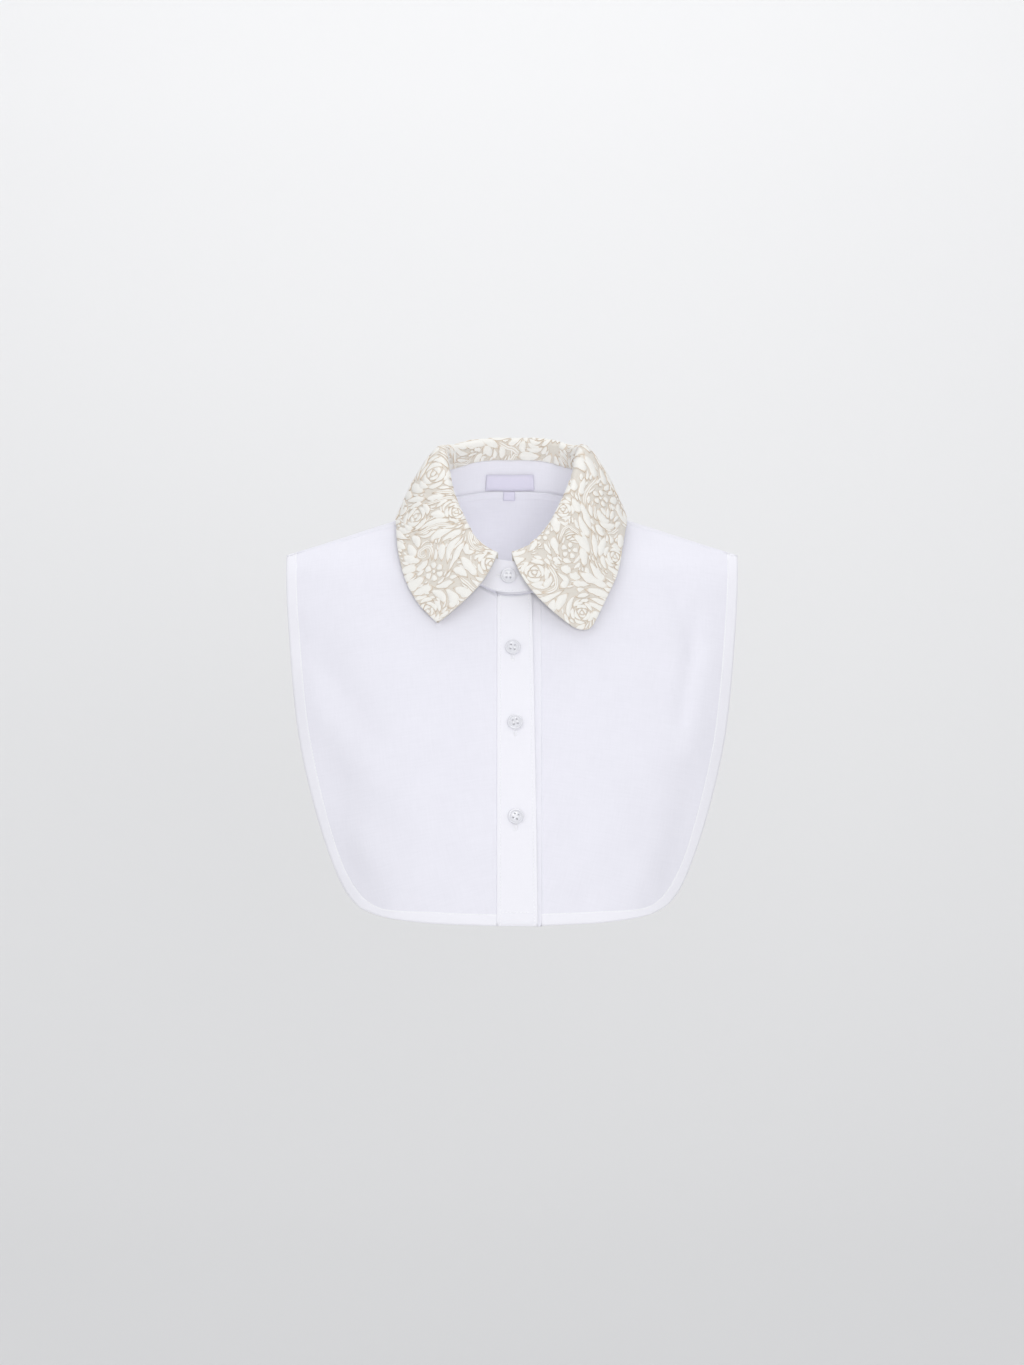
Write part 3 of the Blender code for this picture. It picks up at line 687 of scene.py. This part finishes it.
hemPaths = {}
shoulderPaths = {}
for name, look in panelLooks.items():
    bm = sideOf(name, look["facing"])
    inner = innerEdges(bm, look)
    hemPaths[name], outward = turnHem(bm, [e for e in bm.edges if isHem(e) and e not in inner])
    bare = [e for e in bm.edges if e.is_boundary and e.link_faces[0].normal.z > -0.2]
    inner = innerEdges(bm, look)
    neck = [e for e in bare if e not in inner and abs(middle(e).x) < edgeLimits["neckSide"]
            and middle(e).z > edgeLimits["neckLow"]]
    shoulder = [e for e in bare if e not in inner and abs(middle(e).x) > edgeLimits["neckSide"]
                and middle(e).z > edgeLimits["shoulderLow"]
                and abs(e.verts[0].co.x - e.verts[1].co.x) > 0.004
                and e.link_faces[0].normal.z > 0.2]
    if inner:
        tuckUnder(bm, inner, *look["tuck"])
    tuckUnder(bm, neck, 0.0002, 0.004, betweenPlies)
    if name == "back":
        tuckUnder(bm, shoulder, *look["tuck"])
    else:
        shoulderPaths[name] = [v.co + Vector((0, -0.0017, -0.0006)) for v in runOf(shoulder)]
        turnIn(bm, shoulder, 0.0004, 0.6)
    obj = smoothed(name + "Cloth", bm)
    markDoubledAndHighlight(obj.data, hemPaths[name], outward)
    foldCloth(obj, look["folds"], look["way"], seed=look["seed"])
    dressCloth(obj, name, panelThickness, cotton, (name, "hem_" + name))


# placket and button band: folded strips, stitched near both long edges

stripThickness = 0.0004
stripStitch = 0.0026
stripLooks = {
    "placket": {"turn": 0.0015, "groove": 0.00010, "seed": 21.0, "doubledAndHighlight": 0.6},
    "button_band": {"turn": 0.0003, "groove": 0.00004, "seed": 23.0, "doubledAndHighlight": 0.25},
}


# lowers a stitched line beside the edges that pass the test; returns the line's path
def grooveBeside(bm, isEdge, distance, depth, half=0.0008):
    edges = [e for e in bm.edges if e.is_boundary and isEdge(e)]
    rim = {fixed(v) for e in edges for v in e.verts}
    lines = []
    passed = set()
    for step in (distance - half, half, half):
        loop = addLoop(bm, rim, passed, step)
        lines.append(loop)
        passed |= rim
        rim = loop
    bm.normal_update()
    ends = [e for e in bm.edges if fixed(e.verts[0]) in lines[1] and fixed(e.verts[1]) in lines[1]]
    path = [v.co.copy() for v in runOf(ends)]
    for vert in [v for v in bm.verts if fixed(v) in lines[1]]:
        vert.co -= vert.normal * depth
    return path


def isLong(edge):
    return abs(edge.verts[0].co.z - edge.verts[1].co.z) > 0.6 * edge.calc_length()


def sideLine(sign):
    def test(edge):
        face = edge.link_faces[0]
        return isLong(edge) and (middle(edge).x - face.calc_center_median().x) * sign > 0
    return test


for name, look in stripLooks.items():
    bm = sideOf(name, (0, -1, 0))
    paths = [grooveBeside(bm, sideLine(sign), stripStitch, look["groove"]) for sign in (-1, 1)]
    turnIn(bm, [e for e in bm.edges if e.is_boundary], look["turn"], 0.7)
    obj = smoothed(name + "Cloth", bm)
    foldCloth(obj, [], 1, 0.0003, 0.02, look["seed"])
    markAll(obj.data, look["doubledAndHighlight"])
    dressCloth(obj, name, stripThickness, cotton, (name,))
    if name == "placket":
        placketPaths = paths


# stand: an outer and an inner ply, turned in to meet each other

standLook = {"turn": 0.0006, "stitchUp": 0.0018, "doubledAndHighlight": {"stand_outer": 0.4,
                                                             "stand_inner": 0.15}}
standPaths = {}
for name, facing, seed in (("stand_outer", (0, 1, 0), (0, 1, 0)),
                           ("stand_inner", (0, -1, 0), (0, 1, 0))):
    bm = sideOf(name, facing, seed)
    low = [e for e in bm.edges if e.is_boundary
           and abs(e.verts[0].co.z - e.verts[1].co.z) < 0.95 * e.calc_length()
           and middle(e).z < e.link_faces[0].calc_center_median().z
           and (middle(e).y < -0.03 if name == "stand_outer" else middle(e).y > -0.02)]
    standPaths[name] = [v.co + Vector((0, 0, standLook["stitchUp"])) for v in runOf(low)]
    if name == "stand_inner":
        top = [e for e in bm.edges if e.is_boundary and middle(e).y > -0.045
               and middle(e).z > e.link_faces[0].calc_center_median().z]
        tuckUnder(bm, top, 0.0005, 0.004)
    turnIn(bm, [e for e in bm.edges if e.is_boundary and e.link_faces[0].calc_area() > 1.5e-5],
           standLook["turn"], 0.7)
    obj = smoothed(name + "Cloth", bm)
    markAll(obj.data, standLook["doubledAndHighlight"][name])
    dressCloth(obj, name, stripThickness, cotton, (name,))


# leaf: the lace ply folds over at the top and runs down inside; a thin ply backs it

leafLook = {"turn": 0.0009, "underTurn": 0.0003, "thick": 0.0004}
leafBm = sideOf("leaf_upper", (0, 1, 0))
leafBare = leafBm.copy()
turnIn(leafBm, [e for e in leafBm.edges if e.is_boundary], leafLook["turn"], 0.7)
leaf = smoothed("leafLace", leafBm)
flatten(leaf)
thicken(leaf, leafLook["thick"])
leaf.data.materials.append(groundLook)
finishPiece(leaf, ("leaf_upper",))
leafPlain = smoothed("leafPlain", leafBare)
cloths["leaf_upper"] = leaf
cuts["leaf_upper"] = flatten(leafPlain)

underBm = sideOf("leaf_under", (0, -1, 0), (0, 0.3, -1), 0.3)
turnIn(underBm, [e for e in underBm.edges if e.is_boundary], leafLook["underTurn"], 0.7)
under = smoothed("leafUnder", underBm)
dressCloth(under, "leaf_under", leafLook["thick"], groundLook, ("leaf_under",))


# lace: flowers, leaves and ribbons that follow soft swirls, laid out on the flat cut and then
# carried onto the leaf

laceRules = {"seed": 12, "height": 0.00035, "lift": 0.0004, "rim": 0.00042,
             "swirl": 0.024, "overlap": 0.80, "ragged": 0.24, "patches": 20}
dice = random.Random(laceRules["seed"])
flatPoints = []
facePoints = []
faceNormals = []
flatFaces = []
plain = leafPlain.data
plainUv = plain.uv_layers["cut"].data
plain.calc_loop_triangles()
for tri in plain.loop_triangles:
    start = len(flatPoints)
    for loop, index in zip(tri.loops, tri.vertices):
        flatPoints.append(Vector((*plainUv[loop].uv, 0.0)))
        facePoints.append(plain.vertices[index].co.copy())
        faceNormals.append(plain.vertices[index].normal.copy())
    flatFaces.append((start, start + 1, start + 2))
flatTree = BVHTree.FromPolygons(flatPoints, flatFaces)
flatLow = [min(p[k] for p in flatPoints) for k in (0, 1)]
flatHigh = [max(p[k] for p in flatPoints) for k in (0, 1)]


def insideCut(place):
    return flatTree.find_nearest(Vector((place[0], place[1], 0.0)))[3] <= 1e-6


taken = {}
cellSize = 0.0022


def cellsOf(x, y, r):
    for i in range(int((x - r) // cellSize), int((x + r) // cellSize) + 1):
        for j in range(int((y - r) // cellSize), int((y + r) // cellSize) + 1):
            yield i, j


def roomFor(circles):
    for x, y, r in circles:
        for cell in cellsOf(x, y, r):
            for otherX, otherY, otherR in taken.get(cell, ()):
                if (x - otherX) ** 2 + (y - otherY) ** 2 < (r + otherR) ** 2:
                    return False
    return True


def takeRoom(circles):
    for x, y, r in circles:
        for cell in cellsOf(x, y, r):
            taken.setdefault(cell, []).append((x, y, r))


lace = bmesh.new()
rise = lace.verts.layers.float.new("rise")


# one satin band along a line, with a low cord on each side, coloured tan partly as painted shade;
# its own lift lets bands overlap
def band(line, widthAt, height, steps=7, hollow=False):
    rows = [-1.0, -0.98, -0.8, 0.0, 0.8, 0.98, 1.0]
    levels = [0.0, 0.0, 0.85, 1.0, 0.85, 0.0, 0.0]
    if hollow:
        rows[3:4] = [-0.25, 0.0, 0.25]
        levels[3:4] = [0.9, 0.1, 0.9]
    lift = laceRules["lift"] * dice.random()
    phase = dice.uniform(0, 50)
    made = bmesh.ops.create_grid(lace, x_segments=steps, y_segments=len(rows) - 1, size=1.0)
    for vert in made["verts"]:
        share = (vert.co.x + 1) / 2
        row = round((vert.co.y + 1) / 2 * (len(rows) - 1))
        side = rows[row]
        wave = noise.noise(Vector((share * 4.5, phase + (3.0 if side > 0 else 0.0), 0.0)))
        width = widthAt(share) * (1 + 2 * laceRules["ragged"] * wave)
        if abs(side) == 0.8:
            side = math.copysign(max(0.40, 1 - laceRules["rim"] / max(width, 1e-6)), side)
        ahead = line(min(1.0, share + 0.02)) - line(max(0.0, share - 0.02))
        cross = Vector((-ahead.y, ahead.x)).normalized()
        spot = line(share) + cross * (side * width)
        vert[rise] = levels[row] * min(1.0, 4 * share + 0.1, 4.1 - 4 * share)
        body = lift + height * levels[row] * min(1.0, width / 0.0007)
        vert.co = (spot.x, spot.y, 0.0 if row in (0, len(rows) - 1) else body)


def arc(centre, radius, start, span):
    def line(share):
        angle = start + span * share
        return centre + Vector((math.cos(angle), math.sin(angle))) * radius
    return line


def through(points):
    last = len(points) - 1

    def line(share):
        place = min(max(share, 0.0), 1.0) * last
        index = min(int(place), last - 1)
        return points[index].lerp(points[index + 1], place - index)
    return line


shapes = {
    "oval": lambda s: math.sqrt(max(0.0, 1.0 - (2 * s - 1) ** 2)),
    "petal": lambda s: math.sin(math.pi * min(1.0, max(0.0, s)) ** 1.35) ** 0.7,
    "leaf": lambda s: math.sin(math.pi * min(1.0, max(0.0, s))) ** 0.85,
    "ribbon": lambda s: min(1.0, 5 * s, 5 * (1 - s)) ** 0.5 if 0 < s < 1 else 0.0,
}


def scaled(shape, half):
    return lambda s: half * shapes[shape](s)


def polar(radius, angle):
    return Vector((math.cos(angle), math.sin(angle))) * radius


def anyPlace():
    return Vector([dice.uniform(flatLow[k], flatHigh[k]) for k in (0, 1)])


# swirl centres, spread out; the first ones with room carry a rose
swirls = []
for attempt in range(6000):
    centre = anyPlace()
    if insideCut(centre) and all((centre - other[0]).length > 0.032 for other in swirls):
        swirls.append((centre, dice.choice((-1, 1)), dice.uniform(0.15, 0.5)))


def flowAt(place):
    wander = noise.noise(Vector((place.x * 28, place.y * 28, 4.0))) * 5.0
    way = polar(0.30, wander)
    for centre, spin, pull in swirls:
        out = place - centre
        weight = math.exp(-(out.length / laceRules["swirl"]) ** 2)
        if out.length > 1e-6:
            turned = Vector((-out.y, out.x)) * spin + out * pull
            way += turned.normalized() * weight
    return way.normalized()


def flowLine(centre, length, steps=12):
    points = [centre]
    step = length / steps
    forward = backward = centre
    for k in range(steps // 2):
        forward = forward + flowAt(forward) * step
        backward = backward - flowAt(backward) * step
        points = [backward] + points + [forward]
    return points


def circlesAlong(points, shape, half):
    last = len(points) - 1
    return [(p.x, p.y, max(0.0002, half * shapes[shape](k / last) * laceRules["overlap"]))
            for k, p in enumerate(points)][1:-1]


def flowerHeart(centre, size, turn, half, height):
    reach = polar(size * 0.2, turn)
    band(through([centre - reach, centre + reach]), scaled("oval", half), height, 6)


def rose(centre, size, turn):
    high = laceRules["height"]
    flowerHeart(centre, size, turn, size * 0.17, high)
    for ring, (radius, half, count) in enumerate(((0.34, 0.15, 3), (0.62, 0.19, 3),
                                                  (0.92, 0.20, 5))):
        for k in range(count):
            start = turn + ring * 0.9 + k * math.tau / count + dice.uniform(-0.12, 0.12)
            band(arc(centre, size * radius, start, math.tau / count * 1.08),
                 scaled("leaf", size * half), high * dice.uniform(0.85, 1.15), 10)


def daisy(centre, size, turn, petals):
    high = laceRules["height"]
    flowerHeart(centre, size, turn, size * 0.19, high * 1.1)
    half = min(size * 0.32, size * 0.66 * math.sin(math.pi / petals))
    for k in range(petals):
        angle = turn + k * math.tau / petals
        band(through([centre + polar(size * 0.24, angle), centre + polar(size, angle)]),
             scaled("petal", half), high * dice.uniform(0.85, 1.1), 7)


def placeRound(count, tries, sizes, draw, atSwirls=False):
    made = 0
    for attempt in range(tries):
        if made >= count:
            break
        centre = swirls[attempt % len(swirls)][0] if atSwirls else anyPlace()
        size = dice.uniform(*sizes)
        if insideCut(centre) and roomFor([(centre.x, centre.y, size)]):
            takeRoom([(centre.x, centre.y, size * 0.96)])
            draw(centre, size, dice.uniform(0, math.tau))
            made += 1
    return made


# bands that follow the swirls; each new one tries to lie right beside or behind the last
def placeFlowing(count, tries, lengths, halves, kinds, steps, hollow=False, grow=True):
    made = 0
    waiting = []
    for attempt in range(tries):
        if made >= count:
            break
        centre = waiting.pop() if waiting else anyPlace()
        half = dice.uniform(*halves)
        if not (insideCut(centre) and roomFor([(centre.x, centre.y, half * 0.9)])):
            continue
        shape = dice.choice(kinds)
        length = dice.uniform(*lengths)
        for shrink in (1.0, 0.8, 0.6):
            points = flowLine(centre, length * shrink)
            circles = circlesAlong(points, shape, half)
            if roomFor(circles):
                takeRoom(circles)
                if dice.random() < 0.5:
                    points = points[::-1]
                band(through(points), scaled(shape, half),
                     laceRules["height"] * dice.uniform(0.8, 1.2), steps, hollow)
                made += 1
                if grow:
                    for k in (3, 6, 9):
                        way = flowAt(points[k])
                        away = Vector((-way.y, way.x)) * (half + sum(halves) / 2 + 0.0003)
                        waiting += [points[k] + away, points[k] - away]
                    waiting += [points[0] + (points[0] - points[1]).normalized() * length * 0.55,
                                points[-1] + (points[-1] - points[-2]).normalized() * length * 0.55]
                break
    return made


counts = [placeRound(16, len(swirls), (0.0090, 0.0120), rose, True)]
counts.append(placeRound(8, 4000, (0.0070, 0.0088),
                         lambda c, s, t: daisy(c, s, t, dice.choice((5, 6)))))
counts.append(placeRound(laceRules["patches"], 3000, (0.0022, 0.0052), lambda c, s, t: None))
counts.append(placeFlowing(26, 5000, (0.024, 0.040), (0.0015, 0.0019), ("ribbon",), 18, True,
                           False))
counts.append(placeFlowing(420, 7000, (0.017, 0.032), (0.0027, 0.0042),
                           ("petal", "leaf"), 14))
counts.append(placeFlowing(600, 9000, (0.011, 0.021), (0.0016, 0.0024),
                           ("petal", "leaf"), 11))
counts.append(placeFlowing(900, 14000, (0.006, 0.013), (0.0009, 0.0014),
                           ("petal", "leaf"), 8))
print("lace motifs", len(swirls), counts, "faces", len(lace.faces))


def carryLace():
    outside = set()
    for vert in lace.verts:
        height = vert.co.z
        near, normal, index, gap = flatTree.find_nearest(Vector((vert.co.x, vert.co.y, 0.0)))
        if gap > 0.0002:
            outside.add(vert)
            height *= 0.3
        corners = [flatPoints[i] for i in flatFaces[index]]
        spot = barycentric_transform(near, *corners, *(facePoints[i] for i in flatFaces[index]))
        up = barycentric_transform(near, *corners, *(faceNormals[i] for i in flatFaces[index]))
        vert.co = spot + up.normalized() * (height + 0.00004)
    lost = [f for f in lace.faces if all(v in outside for v in f.verts)]
    bmesh.ops.delete(lace, geom=lost, context="FACES")
    bmesh.ops.dissolve_degenerate(lace, edges=lace.edges, dist=1e-6)
    lace.normal_update()


carryLace()
laceMesh = meshFrom(lace, "laceWork")
laceWork = showObject("laceWork", laceMesh, motifLook)
finishPiece(laceWork)
bpy.data.objects.remove(leafPlain)
print("lace work", len(laceMesh.polygons))


# labels, blank

labelLook = {"lift": 0.0005, "thick": 0.0002}
for name in ("neck_label", "size_tab"):
    bm = sideOf(name, (0, -1, 0))
    obj = smoothed(name + "Satin", bm)
    for vert in obj.data.vertices:
        vert.co += vert.normal * labelLook["lift"]
    dressCloth(obj, name, labelLook["thick"], satin, (name,))


# buttons

# the profile is radius and height in millimetres
buttonLook = {"hole": 0.00078, "spread": 0.00150,
              "profile": [(0.0, -1.0), (4.2, -1.0), (5.4, -0.75), (5.95, 0.0), (5.75, 0.62),
                          (5.2, 0.98), (4.7, 0.92), (4.15, 0.42), (3.0, 0.22), (0.0, 0.18)]}


def buttonMesh():
    bm = bmesh.new()
    rim = [bm.verts.new((r * 0.001, 0, z * 0.001)) for r, z in buttonLook["profile"]]
    edges = [bm.edges.new(pair) for pair in zip(rim, rim[1:])]
    bmesh.ops.spin(bm, geom=rim + edges, cent=(0, 0, 0), axis=(0, 0, 1), angle=math.tau,
                   steps=48, use_merge=True)
    bmesh.ops.remove_doubles(bm, verts=bm.verts, dist=1e-6)
    bmesh.ops.recalc_face_normals(bm, faces=bm.faces)
    cutter = bmesh.new()
    for x in (-1, 1):
        for y in (-1, 1):
            bmesh.ops.create_cone(cutter, cap_ends=True, segments=16, depth=0.006,
                                  radius1=buttonLook["hole"], radius2=buttonLook["hole"],
                                  matrix=Matrix.Translation((x * buttonLook["spread"],
                                                             y * buttonLook["spread"], 0)))
    whole = showObject("buttonWhole", meshFrom(bm, "button"))
    tool = showObject("buttonHoles", meshFrom(cutter, "holes"))
    cut = whole.modifiers.new("holes", "BOOLEAN")
    cut.object = tool
    applied(whole)
    result = whole.data
    bpy.data.objects.remove(whole)
    bpy.data.objects.remove(tool)
    return result


def nodeAxis(name):
    mesh = nodes[name].data
    axis = Vector((0, -1, 0))
    for attempt in range(3):
        total = Vector()
        for poly in mesh.polygons:
            if poly.normal.dot(axis) > 0.3:
                total += poly.normal * poly.area
        axis = total.normalized()
    points = [v.co for v in mesh.vertices]
    centre = sum(points, Vector()) / len(points)
    middleHeight = (max(p.dot(axis) for p in points) + min(p.dot(axis) for p in points)) / 2
    return centre + axis * (middleHeight - centre.dot(axis)), axis


buttonSource = buttonMesh()
buttonTurns = {"button_1": 8, "button_2": -14, "button_3": 20, "button_stand": 3}
threadSpots = []
for name, turn in buttonTurns.items():
    centre, axis = nodeAxis(name)
    side = Vector((1, 0, 0)).cross(axis).normalized()
    across = axis.cross(side).normalized()
    place = Matrix((across, side, axis)).transposed().to_4x4()
    place = Matrix.Translation(centre) @ place @ Matrix.Rotation(math.radians(turn), 4, "Z")
    mesh = buttonSource.copy()
    mesh.transform(place)
    obj = showObject(name + "Pearl", mesh, pearl)
    finishPiece(obj, (name,))
    obj.data.set_sharp_from_angle(angle=math.radians(35))
    spin = place.to_3x3()
    for x in (-1, 1):
        for strand in (-1, 0, 1):
            local = Vector((x * buttonLook["spread"] + strand * 0.00028, 0,
                            0.00045 - abs(strand) * 0.0001))
            threadSpots.append((place @ local, (spin @ Vector((0, 1, 0))).normalized(),
                                (spin @ Vector((0, 0, 1))).normalized()))
    print("button", name)
bpy.data.meshes.remove(buttonSource)
buttonThread = showObject("buttonThread",
                          stitchMesh("buttonThread", threadSpots, 0.0036, 0.00022), thread)
finishPiece(buttonThread)


# stitches

pitch = stitchLook["pitch"]
spots = []
for paths in (hemPaths, shoulderPaths, standPaths):
    for name, path in paths.items():
        spots += onCloth(path, clothTrees[name], pitch)
for path in placketPaths:
    spots += onCloth(path, clothTrees["placket"], pitch)
placketLow = min(v.co.z for v in cloths["placket"].data.vertices)
acrossHem = [Vector((x * 0.001, -0.124, placketLow + 0.0105)) for x in range(-8, 17)]
spots += onCloth(acrossHem, clothTrees["placket"], pitch)
seams = showObject("seamStitches", stitchMesh("seamStitches", spots), thread)
finishPiece(seams)
print("stitches", len(spots))


# buttonholes: a ring of close satin stitches, upright on the placket and level on the stand

holeLook = {"half": 0.0070, "side": 0.00085, "bar": 0.0014, "pitch": 0.00042, "radius": 0.0002}


def buttonhole(centre, along, tree):
    along = along.normalized()
    place, normal, index, gap = tree.find_nearest(centre)
    cross = normal.cross(along).normalized()
    made = []
    half, side = holeLook["half"], holeLook["side"]
    count = int(2 * half / holeLook["pitch"])
    for k in range(count + 1):
        run = -half + 2 * half * k / count
        for sign in (-1, 1):
            made.append((place + along * run + cross * side * sign, cross))
    for end in (-1, 1):
        for k in range(1, 7):
            angle = math.pi * k / 7 - math.pi / 2
            way = along * (math.cos(angle) * end) + cross * math.sin(angle)
            made.append((place + along * half * end + way * side, way))
    result = []
    for spot, way in made:
        near, normal, index, gap = tree.find_nearest(spot, 0.004)
        if near is not None:
            way = (way - normal * way.dot(normal)).normalized()
            result.append((near + normal * 0.00008, way, normal))
    return result


holes = []
for name in ("button_1", "button_2", "button_3"):
    centre, axis = nodeAxis(name)
    holes += buttonhole(centre + Vector((0, 0, -0.0024)), Vector((0, -0.3, -1)),
                        clothTrees["placket"])
centre, axis = nodeAxis("button_stand")
holes += buttonhole(centre + Vector((-0.0014, 0, 0)), Vector((1, 0, 0)), clothTrees["stand_outer"])
buttonholes = showObject("buttonholes",
                         stitchMesh("buttonholes", holes, holeLook["bar"], holeLook["radius"]),
                         thread)
finishPiece(buttonholes)
print("buttonholes", len(holes))


# the cloth as it was cut: width and length, area, how it is held and what it rests on

sheetCuts = {
    "front_left": ((0.175, 0.359), 0.0493, "draped", ["stand_outerCloth"]),
    "front_right": ((0.184, 0.361), 0.0515, "draped", ["stand_outerCloth"]),
    "back": ((0.389, 0.437), 0.1221, "draped", ["stand_outerCloth"]),
    "placket": ((0.033, 0.260), 0.0081, "folded", ["front_rightCloth", "button_bandCloth"]),
    "button_band": ((0.040, 0.254), 0.0081, "folded", ["front_leftCloth"]),
    "stand_outer": ((0.041, 0.457), 0.0112, "folded", ["stand_innerCloth"]),
    "stand_inner": ((0.054, 0.442), 0.0118, "folded", ["stand_outerCloth"]),
    "leaf_upper": ((0.151, 0.484), 0.0377, "folded", ["leafUnder", "stand_outerCloth"]),
    "leaf_under": ((0.113, 0.482), 0.0360, "folded", ["stand_outerCloth", "backCloth"]),
    "neck_label": ((0.013, 0.039), 0.0005, "laid", ["stand_innerCloth"]),
}
for name, (flat, area, hold, below) in sheetCuts.items():
    print("sheet", name, [round(x, 4) for x in cuts[name][0]], round(cuts[name][1], 5))


# camera, lights and floor

def lookAt(obj, spot):
    obj.rotation_euler = (Vector(spot) - obj.location).to_track_quat("-Z", "Y").to_euler()


cameraLook = {"place": (0, -2.6, -0.137), "lens": 87.9}
camera = bpy.data.objects.new("camera", bpy.data.cameras.new("camera"))
scene.collection.objects.link(camera)
camera.location = cameraLook["place"]
camera.rotation_euler = (math.radians(90), 0, 0)
camera.data.lens = cameraLook["lens"]
camera.data.sensor_width = 36
camera.data.clip_end = 30
scene.camera = camera


def softLight(name, place, size, power, color=(1, 1, 1), aim=(0, 0, -0.1)):
    light = bpy.data.lights.new(name, "AREA")
    light.shape = "RECTANGLE"
    light.size, light.size_y = size
    light.energy = power
    light.color = color
    obj = bpy.data.objects.new(name, light)
    obj.location = place
    scene.collection.objects.link(obj)
    lookAt(obj, aim)
    return obj


lightLook = {"front": 29.5, "top": 3, "left": 6, "right": 1.5, "neck": 0.040, "sweep": 33,
             "sky": 0.62}
softLight("frontSoft", (0.35, -3.0, 0.05), (1.2, 0.9), lightLook["front"])
softLight("topSoft", (0.1, -0.9, 1.9), (1.8, 1.4), lightLook["top"])
softLight("leftSoft", (-1.9, -1.7, 0.5), (1.4, 1.8), lightLook["left"])
softLight("rightSoft", (1.9, -1.5, 0.4), (1.4, 1.8), lightLook["right"])
inside = softLight("neckSoft", (0, -0.03, -0.14), (0.07, 0.07), lightLook["neck"],
                   aim=(0, 0.09, -0.05))
inside.visible_camera = False
softLight("sweepSoft", (0, 0.6, 2.2), (3.0, 1.0), lightLook["sweep"], aim=(0, 2.2, 0.2))

sky = bpy.data.worlds.new("studio")
sky.use_nodes = True
sky.node_tree.nodes["Background"].inputs["Color"].default_value = (0.96, 0.97, 1.0, 1)
sky.node_tree.nodes["Background"].inputs["Strength"].default_value = lightLook["sky"]
scene.world = sky


# low and high are the paper's colours at floor level and where its painted shade ends, higher up
floorLook = {"level": -0.75, "front": -4.2, "flat": 5.2, "bend": 1.6, "length": 11.0,
             "width": 9.0, "low": (0.68, 0.68, 0.68), "high": (0.85, 0.85, 0.85), "paintedShadeEndsAt": 0.8}


# paper that lies flat, bends upwards and rises behind, painted darker near the floor and lighter up
# the back as painted shade
def makeFloor():
    level, front, flat, bend = [floorLook[k] for k in ("level", "front", "flat", "bend")]
    bm = bmesh.new()
    bmesh.ops.create_grid(bm, x_segments=2, y_segments=60, size=1.0)
    for vert in bm.verts:
        run = (vert.co.y + 1) / 2 * floorLook["length"]
        vert.co.x *= floorLook["width"]
        if run < flat:
            vert.co.y, vert.co.z = run + front, level
        elif run < flat + bend * math.pi / 2:
            angle = (run - flat) / bend
            vert.co.y = flat + front + bend * math.sin(angle)
            vert.co.z = level + bend * (1 - math.cos(angle))
        else:
            vert.co.y = flat + front + bend
            vert.co.z = level + bend + run - flat - bend * math.pi / 2
    made, tree, shader = newMaterial("paperSweep", (0.83, 0.83, 0.83), 0.95,
                                     Specular_IOR_Level=0.1)
    place = solidPlace(tree)
    parts = addNode(tree, "ShaderNodeSeparateXYZ", {0: place})
    shade = mixNode(tree, ranged(tree, parts.outputs["Z"], level, floorLook["paintedShadeEndsAt"]),
                    floorLook["low"], floorLook["high"])
    tree.links.new(shade, shader.inputs["Base Color"])
    bumpInto(tree, shader, noiseOf(tree, place, 300.0), 0.0005, 0.1)
    obj = showObject("sweep", meshFrom(bm, "sweep"), made)
    obj.data.shade_smooth()
    return obj


makeFloor()
scene.view_settings.view_transform = "Standard"
